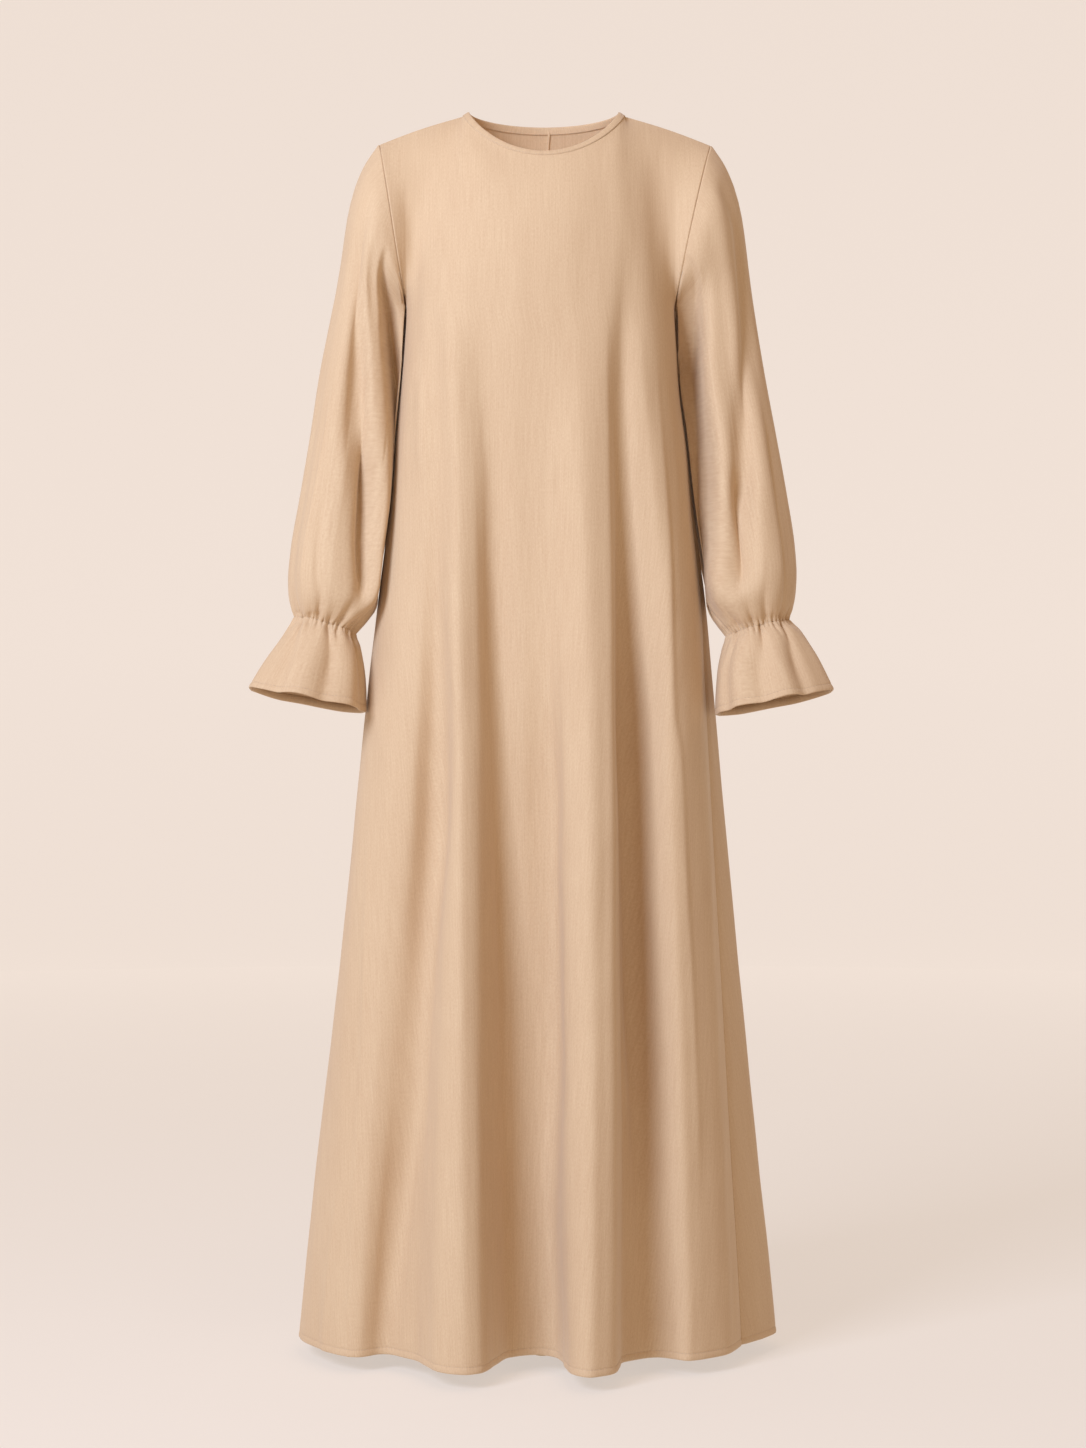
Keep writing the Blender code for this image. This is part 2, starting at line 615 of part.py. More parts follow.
def build_body(panels):
    rows, normals = panels["front"][:2]
    width = len(rows[0]) - 1
    points, across = trim_panel(rows, normals, 0, width, "side", "side", -1.0)
    add_solid("front", *panel_mesh(points, across))
    rows, normals = panels["back"][:2]
    width = len(rows[0]) - 1
    points, across = trim_panel(rows, normals, 0, CENTRE_COLUMN, "side", "centre", 1.0)
    add_solid("back_left", *panel_mesh(points, across))
    points, across = trim_panel(rows, normals, CENTRE_COLUMN, width, "centre", "side", 1.0)
    add_solid("back_right", *panel_mesh(points, across))


def neck_stations(panels):
    """Neck seam points all round, with the direction of the binding at each."""
    stations = []
    for back in (False, True):
        rows, normals, edge, first, last = panels["back" if back else "front"]
        for i in range(first, last):
            point, kind, angle = edge[i]
            if i == first:
                angle = math.pi / 2 if back else -math.pi / 2
            stations.append((angle, back))
    return stations


def build_binding(panels):
    stations = neck_stations(panels)
    seam = [neck_point(NECK_SEAM, a, back) for a, back in stations]
    edge = [neck_point(NECK_EDGE, a, back) for a, back in stations]
    count = len(seam)
    points = []
    for i in range(count):
        along = (seam[(i + 1) % count] - seam[i - 1]).normalized()
        up = (edge[i] - seam[i]).normalized()
        normal = along.cross(up).normalized()
        if normal.dot(Vector((seam[i].x, seam[i].y, 0.3))) < 0.0:
            normal.negate()
        low = seam[i] + up * SEAM_GAP
        for base, side in ((low, 1.0), (edge[i], 1.0), (edge[i], -1.0), (low, -1.0)):
            offset = side * BINDING_WALL / 2 - WALL / 2
            points.append(base + normal * offset)
    faces = []
    for i in range(count):
        j = (i + 1) % count
        for k in range(4):
            m = (k + 1) % 4
            a, b = 4 * i + k, 4 * i + m
            c, d = 4 * j + m, 4 * j + k
            faces += [(a, b, c), (a, c, d)]
    if signed_volume(points, faces) < 0.0:
        faces = [tuple(reversed(face)) for face in faces]
    add_solid("neck_binding", points, faces)


def armhole_loop(panels, side):
    """Armhole points from the shoulder tip round the front to the underarm and back."""
    front = [row[0 if side == "right" else -1] for row in panels["front"][0]]
    back = [row[-1 if side == "right" else 0] for row in panels["back"][0]]
    down = front[:ARMHOLE_ROWS + 1]
    up = back[1:ARMHOLE_ROWS][::-1]
    out = -ARMHOLE_GAP if side == "right" else ARMHOLE_GAP
    return [p + Vector((out, 0.0, 0.0)) for p in down + up]


def body_side(y, z, right):
    """How far out the side of the body is at one place and height."""
    level = min(z, LEVELS[0])
    depth = smooth_value(LEVELS, BACK_DEPTH if y > 0.0 else FRONT_DEPTH, level)
    power = smooth_value(LEVELS, FULLNESS, level)
    share = max(0.0, 1.0 - min(1.0, abs(y) / depth) ** power) ** (1.0 / power)
    return share * half_width(level, right)


def tuck_depth(side, degrees, height, width):
    """How far a sleeve is pushed back beside the underarm."""
    heights = [row[0] for row in UNDERARM_TUCKS[side]]
    edge = smooth_value(heights, [row[1] for row in UNDERARM_TUCKS[side]], height)
    depth = smooth_value(heights, [row[2] for row in UNDERARM_TUCKS[side]], height)
    t = min(1.0, max(0.0, (degrees - edge) / width + 0.5))
    return depth * t * t * (3.0 - 2.0 * t)


def wrap_pull(name, degrees):
    """Share of its width by which a sleeve wraps round the body at one angle."""
    bulge = math.exp(-((degrees - 136.0) / 24.0) ** 2)
    bulge += math.exp(-((degrees - 224.0) / 24.0) ** 2)
    return SLEEVE_WRAP * WRAP_SHARE.get(name, 1.0) * bulge


def wrapped(point, pull):
    """The point moved towards the body by the pull, but kept clear of it."""
    right = point.x < 0.0
    out = -1.0 if right else 1.0
    near = body_side(point.y, point.z, right) + SLEEVE_CLEARANCE
    moved = max(out * point.x - pull, near)
    return Vector((out * moved, point.y, point.z))


def section_loop(side, section, columns, part):
    """Points of one sleeve section, from the outer edge towards the front."""
    name, out_x, out_z, in_x, in_z, centre_y, depth, rise = section
    folds = SLEEVE_FOLDS[side]
    outer = Vector((out_x, centre_y, out_z))
    inner = Vector((in_x, centre_y, in_z))
    centre = (outer + inner) / 2
    reach = (outer - inner) / 2
    loop = []
    for c in range(columns):
        angle = 2 * math.pi * c / columns
        spread = reach * math.cos(angle)
        point = centre + spread
        point += Vector((0.0, -depth * math.sin(angle), rise * math.sin(angle)))
        away = (point - centre).normalized()
        degrees = math.degrees(angle)
        stand = fold_stand(folds, degrees, part)
        stand += gather_stand(side, name, degrees)
        if math.cos(angle) < -0.55 and name not in GATHER_SHARE:
            stand = min(stand, 0.0)
        point += away * stand
        if degrees < 180.0:
            back = tuck_depth(side, degrees, centre.z, TUCK_WIDTH)
            point.y = min(point.y + back, max(point.y, centre_y))
        if math.cos(angle) < 0.0:
            point = wrapped(point, wrap_pull(name, degrees) * reach.length)
        loop.append(point)
    return loop


def fold_stand(folds, degrees, part):
    total = 0.0
    for name, place, spread, upper, elbow, full in folds:
        gap = round_gap(degrees, place)
        depth = smooth_value((0.0, 0.45, 1.0), (upper, elbow, full), min(1.0, part))
        fade = 1.0 if part <= 1.0 else max(0.0, 1.0 - (part - 1.0) * 2.0)
        total += depth * fade * math.exp(-(gap / spread) ** 2)
    return total


def round_gap(degrees, place):
    return abs((degrees - place + 180.0) % 360.0 - 180.0)


def gather_stand(side, name, degrees):
    """Puckers at the elastic row and soft waves in the ruffle below it."""
    total = 0.0
    for place, stand in WRIST_GATHERS[side]:
        bulge = math.exp(-(round_gap(degrees, place) / 7.0) ** 2)
        total += GATHER_SHARE.get(name, 0.0) * stand * bulge
    for place, stand, spread in RUFFLE_WAVES[side]:
        bulge = math.exp(-(round_gap(degrees, place) / spread) ** 2)
        total += WAVE_SHARE.get(name, 0.0) * stand * bulge
    return total


def sleeve_rows(panels, side):
    sections = SLEEVE_SECTIONS[side]
    top = sections[0][2]
    full = sections[5][2]
    loops = []
    for section in sections:
        part = (section[2] - top) / (full - top)
        columns = SLEEVE_COLUMNS
        if section[0] in ("above_gather", "gather", "ruffle_top"):
            columns = SLEEVE_COLUMNS * 3
        if section[0] in ("ruffle_mid", "ruffle_low", "ruffle_hem"):
            columns = SLEEVE_COLUMNS * 3 // 2
        loops.append(section_loop(side, section, columns, part))
    head = armhole_loop(panels, side)
    cap = cap_rows(head, loops[0], loops[1], side)
    return [head] + cap + loops


def cap_rows(head, upper, following, side):
    """Rows of the sleeve head between the armhole and the upper arm."""
    out = -1.0 if side == "right" else 1.0
    rows = []
    count = 6
    for r in range(1, count):
        t = r / count
        row = []
        for c, start in enumerate(head):
            angle = 2 * math.pi * c / len(head)
            top = math.cos(angle / 2) ** 2
            turn = math.sin(angle)
            stop = upper[c]
            length = (stop - start).length
            wide = 0.62 * top + 0.30 * (1 - top) + 0.40 * abs(turn)
            drop = (1.0 - 0.22 * top) * (1.0 - 0.5 * abs(turn))
            leave = Vector((out * wide, -0.45 * turn, -drop))
            arrive = (upper[c] - following[c]).normalized()
            first = start + leave.normalized() * (length * 0.36)
            second = stop + arrive * (length * 0.36)
            row.append(bezier((start, first, second, stop), t))
        rows.append(row)
    return rows


def stitch_rows(upper_start, upper_count, lower_start, lower_count):
    """Triangles between two closed rows whose counts are multiples."""
    faces = []
    if upper_count >= lower_count:
        ratio = upper_count // lower_count
        for c in range(lower_count):
            low_a = lower_start + c
            low_b = lower_start + (c + 1) % lower_count
            mid = ratio // 2
            for k in range(ratio):
                up_a = upper_start + (c * ratio + k) % upper_count
                up_b = upper_start + (c * ratio + k + 1) % upper_count
                faces.append((up_a, low_a if k < max(1, mid) else low_b, up_b))
                if k == max(1, mid) - 1:
                    faces.append((up_b, low_a, low_b))
        return faces
    flipped = stitch_rows(lower_start, lower_count, upper_start, upper_count)
    return [tuple(reversed(face)) for face in flipped]


def tube_mesh(rows, side):
    """Closed wall round a tube of rows whose column counts may differ."""
    starts = []
    outer = []
    for row in rows:
        starts.append(len(outer))
        outer += row
    faces = []
    for r in range(len(rows) - 1):
        faces += stitch_rows(starts[r], len(rows[r]), starts[r + 1], len(rows[r + 1]))
    normals = [Vector((0.0, 0.0, 0.0)) for _ in outer]
    for a, b, c in faces:
        normal = (outer[b] - outer[a]).cross(outer[c] - outer[a])
        for v in (a, b, c):
            normals[v] += normal
    away = 0.0
    for r, row in enumerate(rows):
        centre = sum(row, Vector((0.0, 0.0, 0.0))) / len(row)
        for c, point in enumerate(row):
            away += normals[starts[r] + c].dot(point - centre)
    turn = 1.0 if away > 0.0 else -1.0
    normals = [(n * turn).normalized() for n in normals]
    for v in range(len(rows[0])):
        n = normals[v]
        n.x = max(n.x, 0.0) if side == "right" else min(n.x, 0.0)
        normals[v] = n.normalized()
    inner = []
    for r, row in enumerate(rows):
        wall = HEM_WALL if r == len(rows) - 1 else WALL
        inner += [p - normals[starts[r] + c] * wall for c, p in enumerate(row)]
    return close_wall(outer, inner, faces)


def build_sleeves(panels):
    for side in ("left", "right"):
        rows = sleeve_rows(panels, side)
        add_solid("sleeve_" + side, *tube_mesh(rows, side))


def main():
    clear_scene()
    panels = body_panels()
    build_body(panels)
    build_binding(panels)
    build_sleeves(panels)


main()
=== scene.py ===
"""Looks of a long A-line abaya with set-in bishop sleeves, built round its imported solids.

Metres, +Z up, front towards -Y. Left and right are the wearer's.
"""

import itertools
import math

import bpy
import numpy as np
from bpy.props import FloatProperty, FloatVectorProperty, PointerProperty
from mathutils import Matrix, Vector


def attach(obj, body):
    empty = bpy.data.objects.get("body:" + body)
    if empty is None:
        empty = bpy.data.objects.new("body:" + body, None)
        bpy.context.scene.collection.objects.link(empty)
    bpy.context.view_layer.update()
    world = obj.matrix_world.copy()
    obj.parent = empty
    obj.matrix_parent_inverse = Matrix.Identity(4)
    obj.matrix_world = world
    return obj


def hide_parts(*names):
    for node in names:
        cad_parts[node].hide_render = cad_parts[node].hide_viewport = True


bl_info = {
    "name": "Abaya with shirred bishop sleeves",
    "version": (1, 0, 0),
    "blender": (4, 5, 0),
    "location": "3D View > Sidebar > Abaya",
    "description": "Builds the cloth, sewing and studio of a long A-line abaya",
    "category": "Object",
}

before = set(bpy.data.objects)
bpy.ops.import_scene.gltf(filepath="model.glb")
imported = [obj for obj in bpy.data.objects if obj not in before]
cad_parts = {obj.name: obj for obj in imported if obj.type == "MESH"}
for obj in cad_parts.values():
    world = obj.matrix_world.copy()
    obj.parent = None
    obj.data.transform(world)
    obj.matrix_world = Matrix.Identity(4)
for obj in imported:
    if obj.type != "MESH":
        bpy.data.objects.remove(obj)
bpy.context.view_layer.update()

# Camera of the photo: level, in front of the middle of the garment
CAMERA_PLACE = (0.0, -3.4, -0.7075)
CAMERA_LENS = 73.1
CAMERA_SENSOR = 36.0

# Form of the solids that the cloth follows
ARMHOLE_GAP = 0.0005
NECK_CENTRE_X = 0.001
SHOULDER_CROWN = 0.002
ARMHOLE_ROWS = 12
HEAD_ROWS = 6
FULLEST_SECTION = 5
GATHER_SECTION = 9
RELAX_PASSES = 10
SLEEVE_WRAP = 0.42
SLEEVE_CLEARANCE = 0.0030
# Guides of the cloth from the chest up to the shoulders: rise from the chest,
# slope and reach below the shoulder seam, slope at the neck forward and up,
# more reach beside the neck, width that follows the armhole
CHEST_RISE = 0.075
SHOULDER_SLOPE = -0.35
SHOULDER_REACH = 0.040
NECK_SLOPE = (0.55, -0.83)
NECK_REACH = 0.014
ARMHOLE_HOLD = 0.032
# How the sleeve head leaves the armhole: how far outwards at its top, its foot
# and its two sides, how much less it drops at its top and sides, how far forward
# it turns, and its reach as a share of the way to the upper arm
HEAD_OUT = (0.62, 0.30, 0.40)
HEAD_LIFT = (0.22, 0.5)
HEAD_FORWARD = 0.45
HEAD_REACH = 0.36

# Body rows from the underarm down to the hem
BODY_ROWS = (-0.229, -0.270, -0.320, -0.390, -0.470, -0.560, -0.660,
             -0.780, -0.920, -1.060, -1.200, -1.330, -1.418)

# Half widths of the body: height, wearer's right, wearer's left
SIDES = (
    (-0.229, 0.1572, 0.1526),
    (-0.298, 0.1618, 0.1549),
    (-0.368, 0.1688, 0.1642),
    (-0.443, 0.1751, 0.1717),
    (-0.512, 0.1850, 0.1815),
    (-0.581, 0.1919, 0.1896),
    (-0.645, 0.2000, 0.1954),
    (-0.743, 0.2104, 0.2046),
    (-0.870, 0.2231, 0.2162),
    (-0.986, 0.2352, 0.2277),
    (-1.131, 0.2520, 0.2416),
    (-1.275, 0.2688, 0.2566),
    (-1.379, 0.2786, 0.2682),
    (-1.418, 0.2826, 0.2717),
)

# Levels of the fold tables: chest, waist, hip, hem
LEVELS = (-0.229, -0.500, -0.740, -1.418)
FRONT_DEPTH = (0.110, 0.108, 0.119, 0.125)
BACK_DEPTH = (0.098, 0.088, 0.120, 0.135)
FULLNESS = (2.3, 2.4, 2.5, 2.6)

# Fold lines of the front: name, place across at the chest, waist, hip and
# hem, then how far the cloth stands out at the waist, hip and hem
FRONT_FOLDS = (
    ("side_right", -0.1572, -0.1831, -0.2101, -0.2826, 0.000, 0.000, 0.000),
    ("turn_right", -0.1550, -0.1780, -0.2030, -0.2600, 0.000, 0.000, -0.018),
    ("flank_right", -0.1480, -0.1660, -0.1860, -0.2351, 0.000, 0.001, 0.000),
    ("plain_right", -0.1390, -0.1503, -0.1660, -0.2080, 0.000, 0.002, 0.004),
    ("plain_inner_right", -0.1287, -0.1333, -0.1433, -0.1772, 0.000, -0.002, -0.013),
    ("flute_a_foot", -0.1200, -0.1196, -0.1230, -0.1440, -0.002, -0.010, 0.002),
    ("flute_a_edge", -0.1120, -0.1066, -0.1074, -0.1164, 0.005, 0.014, 0.056),
    ("flute_a_crest", -0.1020, -0.0954, -0.0928, -0.0862, 0.011, 0.028, 0.070),
    ("flute_a_inner_edge", -0.0900, -0.0780, -0.0735, -0.0652, 0.007, 0.018, 0.057),
    ("flute_a_inner_foot", -0.0752, -0.0560, -0.0480, -0.0400, -0.007, -0.012, -0.014),
    ("middle", -0.0348, -0.0260, -0.0200, -0.0200, -0.008, -0.016, -0.026),
    ("flute_b_foot", 0.0056, 0.0075, 0.0090, 0.0010, -0.002, -0.010, -0.022),
    ("flute_b_edge", 0.0224, 0.0224, 0.0213, 0.0122, 0.006, 0.014, 0.037),
    ("flute_b_crest", 0.0449, 0.0482, 0.0526, 0.0497, 0.013, 0.032, 0.081),
    ("flute_b_outer_edge", 0.0707, 0.0752, 0.0772, 0.0773, 0.009, 0.026, 0.062),
    ("flute_b_outer_foot", 0.0819, 0.0853, 0.0861, 0.0884, -0.008, -0.010, 0.010),
    ("hollow", 0.0942, 0.0999, 0.1039, 0.1150, -0.012, -0.020, -0.008),
    ("flute_c_crest", 0.1111, 0.1333, 0.1432, 0.1600, 0.006, 0.010, 0.012),
    ("flank_left", 0.1333, 0.1583, 0.1717, 0.1865, 0.002, 0.002, 0.004),
    ("turn_left", 0.1447, 0.1697, 0.1842, 0.2103, -0.006, -0.010, -0.010),
    ("side_left", 0.1526, 0.1770, 0.1911, 0.2287, -0.026, -0.034, -0.048),
)

# Fold lines of the back, from the wearer's left side seam round to the right
BACK_FOLDS = (
    ("turn_left", 0.1522, 0.1799, 0.2043, 0.2715, 0.006, 0.008, 0.016),
    ("flank_left", 0.1460, 0.1720, 0.1940, 0.2590, 0.000, 0.000, 0.010),
    ("side_flute_left", 0.1340, 0.1560, 0.1760, 0.2330, 0.000, 0.003, 0.014),
    ("side_hollow_left", 0.1180, 0.1370, 0.1540, 0.2000, -0.002, -0.006, -0.020),
    ("flute_d_foot", 0.1040, 0.1200, 0.1340, 0.1690, -0.002, -0.008, -0.026),
    ("flute_d_edge", 0.0900, 0.1030, 0.1140, 0.1410, 0.004, 0.012, 0.020),
    ("flute_d_crest", 0.0740, 0.0840, 0.0920, 0.1120, 0.008, 0.024, 0.052),
    ("flute_d_inner_edge", 0.0580, 0.0650, 0.0700, 0.0820, 0.004, 0.012, 0.024),
    ("flute_d_inner_foot", 0.0400, 0.0440, 0.0470, 0.0540, -0.004, -0.008, -0.018),
    ("centre_side_left", 0.0200, 0.0220, 0.0240, 0.0280, -0.003, -0.008, -0.018),
    ("centre_back", 0.0010, 0.0010, 0.0010, 0.0010, -0.004, -0.004, -0.006),
    ("centre_side_right", -0.0220, -0.0250, -0.0280, -0.0340, -0.002, -0.006, -0.016),
    ("flute_e_inner_edge", -0.0400, -0.0460, -0.0500, -0.0600, 0.002, 0.008, 0.022),
    ("flute_e_crest", -0.0560, -0.0650, -0.0720, -0.0880, 0.006, 0.022, 0.056),
    ("flute_e_edge", -0.0720, -0.0840, -0.0930, -0.1140, 0.002, 0.010, 0.030),
    ("flute_e_foot", -0.0880, -0.1030, -0.1150, -0.1420, -0.004, -0.008, -0.018),
    ("side_hollow_right", -0.1040, -0.1220, -0.1360, -0.1720, -0.004, -0.010, -0.024),
    ("side_flute_edge", -0.1200, -0.1410, -0.1580, -0.2040, 0.002, 0.006, 0.010),
    ("side_flute_right", -0.1360, -0.1590, -0.1790, -0.2340, 0.004, 0.010, 0.026),
    ("flank_right", -0.1480, -0.1730, -0.1970, -0.2600, 0.002, 0.006, 0.014),
    ("turn_right", -0.1560, -0.1820, -0.2088, -0.2800, 0.000, 0.002, 0.006),
)

# Shoulder seam and armhole of each side: neck point, shoulder tip, then how
# the armhole leaves the underarm and reaches the tip at the front
SHOULDERS = {
    "right": {
        "neck": (-0.0930, 0.0, -0.0050),
        "tip": (-0.1896, 0.0, -0.0376),
        "leave": (-0.0020, 0.0760, 0.0140),
        "reach": (0.0116, 0.0740, -0.0424),
    },
    "left": {
        "neck": (0.0950, 0.0, -0.0050),
        "tip": (0.1942, 0.0, -0.0387),
        "leave": (-0.0026, 0.0760, 0.0140),
        "reach": (-0.0142, 0.0740, -0.0413),
    },
}

# Neckline seam and the finished edge above it: half width, depth forward,
# depth back, height at the shoulder, drop at the front, drop at the back
NECK_SEAM = (0.0940, 0.0710, 0.0570, -0.0050, 0.0585, 0.0110)
NECK_EDGE = (0.0865, 0.0660, 0.0550, 0.0000, 0.0572, 0.0066)

# Sleeve sections: name, outer edge across and up, inner edge across and up,
# centre forward, half depth, rise of the front edge
SLEEVE_SECTIONS = {
    "right": (
        ("upper", -0.2380, -0.2003, -0.1629, -0.2431, 0.0020, 0.0520, 0.000),
        ("biceps", -0.2448, -0.2353, -0.1640, -0.2699, 0.0010, 0.0530, 0.000),
        ("above_elbow", -0.2572, -0.2992, -0.1661, -0.3165, -0.0030, 0.0540, 0.001),
        ("elbow", -0.2682, -0.3748, -0.1733, -0.3921, -0.0100, 0.0560, 0.002),
        ("forearm", -0.2793, -0.4443, -0.1794, -0.4616, -0.0170, 0.0580, 0.003),
        ("fullest", -0.2901, -0.5137, -0.1882, -0.5309, -0.0270, 0.0590, 0.003),
        ("blouson", -0.2922, -0.5425, -0.1890, -0.5563, -0.0300, 0.0580, 0.003),
        ("turn_in", -0.2909, -0.5632, -0.1915, -0.5745, -0.0320, 0.0530, 0.003),
        ("above_gather", -0.2873, -0.5770, -0.2035, -0.5915, -0.0340, 0.0420, 0.003),
        ("gather", -0.2842, -0.5851, -0.2139, -0.6034, -0.0360, 0.0310, 0.003),
        ("ruffle_top", -0.2938, -0.6023, -0.2092, -0.6195, -0.0380, 0.0380, 0.003),
        ("ruffle_mid", -0.3084, -0.6253, -0.2050, -0.6401, -0.0410, 0.0470, 0.004),
        ("ruffle_low", -0.3218, -0.6470, -0.2030, -0.6641, -0.0440, 0.0540, 0.005),
        ("ruffle_hem", -0.3340, -0.6687, -0.2020, -0.6938, -0.0470, 0.0600, 0.006),
    ),
    "left": (
        ("upper", 0.2409, -0.2003, 0.1581, -0.2431, 0.0070, 0.0520, 0.000),
        ("biceps", 0.2459, -0.2353, 0.1592, -0.2699, 0.0080, 0.0530, 0.000),
        ("above_elbow", 0.2560, -0.2992, 0.1622, -0.3246, 0.0060, 0.0540, 0.001),
        ("elbow", 0.2694, -0.3748, 0.1710, -0.3944, -0.0010, 0.0560, 0.002),
        ("forearm", 0.2810, -0.4443, 0.1777, -0.4616, -0.0110, 0.0580, 0.003),
        ("fullest", 0.2896, -0.5080, 0.1868, -0.5274, -0.0210, 0.0590, 0.003),
        ("blouson", 0.2905, -0.5391, 0.1872, -0.5550, -0.0300, 0.0580, 0.003),
        ("turn_in", 0.2886, -0.5621, 0.1890, -0.5740, -0.0320, 0.0530, 0.003),
        ("above_gather", 0.2850, -0.5770, 0.1985, -0.5925, -0.0340, 0.0420, 0.003),
        ("gather", 0.2814, -0.5885, 0.2093, -0.6068, -0.0360, 0.0310, 0.003),
        ("ruffle_top", 0.2938, -0.6012, 0.2046, -0.6229, -0.0380, 0.0380, 0.003),
        ("ruffle_mid", 0.3072, -0.6230, 0.1990, -0.6435, -0.0410, 0.0470, 0.004),
        ("ruffle_low", 0.3189, -0.6470, 0.1965, -0.6687, -0.0440, 0.0540, 0.005),
        ("ruffle_hem", 0.3295, -0.6710, 0.1955, -0.6972, -0.0470, 0.0600, 0.006),
    ),
}

# Folds along a sleeve: name, angle from the outer edge towards the front,
# spread in degrees, stand-out at the upper arm, elbow and fullest section
SLEEVE_FOLDS = {
    "right": (
        ("front_hollow", 122.0, 17.0, -0.0040, -0.0020, 0.0000),
        ("front_line", 92.0, 14.0, -0.0030, -0.0050, -0.0040),
        ("front_ridge", 68.0, 14.0, 0.0020, 0.0020, 0.0020),
        ("outer_line", 28.0, 12.0, -0.0010, -0.0020, -0.0035),
        ("back_hollow", 245.0, 18.0, -0.0060, -0.0040, -0.0020),
        ("back_line", 288.0, 15.0, -0.0030, -0.0050, -0.0040),
    ),
    "left": (
        ("front_hollow", 128.0, 18.0, -0.0020, -0.0020, -0.0010),
        ("front_line", 84.0, 15.0, -0.0030, -0.0050, -0.0040),
        ("front_ridge", 108.0, 13.0, 0.0020, 0.0020, 0.0010),
        ("outer_line", 34.0, 12.0, -0.0010, -0.0020, -0.0040),
        ("back_hollow", 238.0, 18.0, -0.0060, -0.0040, -0.0020),
        ("back_line", 282.0, 15.0, -0.0030, -0.0050, -0.0040),
    ),
}

# Tuck of each sleeve beside the underarm: height, angle of its edge from the
# outer edge towards the front, depth backwards
UNDERARM_TUCKS = {
    "right": (
        (-0.150, 100.0, 0.000), (-0.2025, 106.5, 0.012), (-0.282, 118.0, 0.018),
        (-0.362, 131.5, 0.015), (-0.400, 140.0, 0.006), (-0.430, 150.0, 0.000),
    ),
    "left": (
        (-0.130, 112.0, 0.000), (-0.2025, 110.0, 0.012), (-0.282, 113.0, 0.019),
        (-0.362, 119.5, 0.022), (-0.430, 126.0, 0.022), (-0.499, 129.5, 0.018),
        (-0.556, 134.0, 0.008), (-0.585, 140.0, 0.000),
    ),
}

# Share of its wrap round the body that a sleeve keeps near the wrist
WRAP_SHARE = {
    "blouson": 0.80, "turn_in": 0.50, "above_gather": 0.15, "gather": 0.0,
    "ruffle_top": 0.0, "ruffle_mid": 0.0, "ruffle_low": 0.0, "ruffle_hem": 0.0,
}

# Creases of the body: name, stand-out, spread towards the wearer's right and
# left, then the places (height, across) that the crease runs through
ARMHOLE_DRAG_RIGHT = (
    "armhole_drag_right", -0.0022, 0.008, 0.010,
    ((-0.100, -0.158), (-0.150, -0.150), (-0.215, -0.146), (-0.300, -0.150)))
FRONT_CREASES = (
    ("chest_ridge", 0.0045, 0.014, 0.012,
     ((-0.225, -0.112), (-0.279, -0.100), (-0.391, -0.098), (-0.560, -0.097), (-0.700, -0.094))),
    ("small_ridge", 0.0024, 0.007, 0.007,
     ((-0.310, -0.138), (-0.365, -0.137), (-0.430, -0.135))),
    ("flank_hollow", -0.0122, 0.017, 0.015,
     ((-0.620, -0.115), (-0.795, -0.122), (-0.968, -0.135), (-1.140, -0.147), (-1.310, -0.168),
      (-1.400, -0.178))),
    ("first_hollow", -0.0075, 0.014, 0.017,
     ((-0.330, -0.062), (-0.502, -0.055), (-0.640, -0.050), (-0.795, -0.043), (-0.968, -0.036),
      (-1.140, -0.028), (-1.330, -0.024))),
    ("middle_recess", -0.0110, 0.032, 0.015,
     ((-0.700, 0.004), (-0.850, 0.004), (-1.000, 0.004), (-1.140, 0.006), (-1.290, 0.008),
      (-1.400, 0.010))),
    ("middle_streak", 0.0010, 0.004, 0.004,
     ((-0.380, 0.010), (-0.560, 0.011), (-0.780, 0.012))),
    ("second_ridge", 0.0030, 0.014, 0.014,
     ((-0.300, 0.040), (-0.450, 0.044), (-0.560, 0.047), (-0.740, 0.052), (-1.000, 0.046))),
    ("deep_hollow", -0.0075, 0.009, 0.012,
     ((-0.225, 0.092), (-0.391, 0.089), (-0.558, 0.092), (-0.748, 0.096), (-1.050, 0.103),
      (-1.300, 0.112))),
    ("deep_hollow_foot", -0.0100, 0.012, 0.027,
     ((-0.620, 0.094), (-0.795, 0.098), (-0.968, 0.104), (-1.140, 0.113), (-1.310, 0.124),
      (-1.400, 0.128))),
    ("fold_edge", 0.0022, 0.010, 0.0030,
     ((-0.500, 0.081), (-0.640, 0.082), (-0.848, 0.083), (-1.127, 0.083), (-1.380, 0.083))),
    ("thin_crease", 0.0020, 0.0060, 0.0026,
     ((-0.330, 0.130), (-0.502, 0.142), (-0.697, 0.147), (-0.737, 0.154), (-0.892, 0.161),
      (-1.037, 0.169), (-1.180, 0.175))),
    ("side_crease", 0.0016, 0.0026, 0.0060,
     ((-0.820, -0.198), (-0.949, -0.201), (-1.083, -0.204), (-1.200, -0.211), (-1.390, -0.220))),
    ("hem_crease", 0.0012, 0.0030, 0.0060,
     ((-1.230, -0.232), (-1.290, -0.240), (-1.390, -0.249))),
    ARMHOLE_DRAG_RIGHT,
    ("yoke_ridge_left", 0.0022, 0.017, 0.016,
     ((-0.050, 0.108), (-0.130, 0.112), (-0.200, 0.117), (-0.260, 0.124), (-0.330, 0.132))),
)

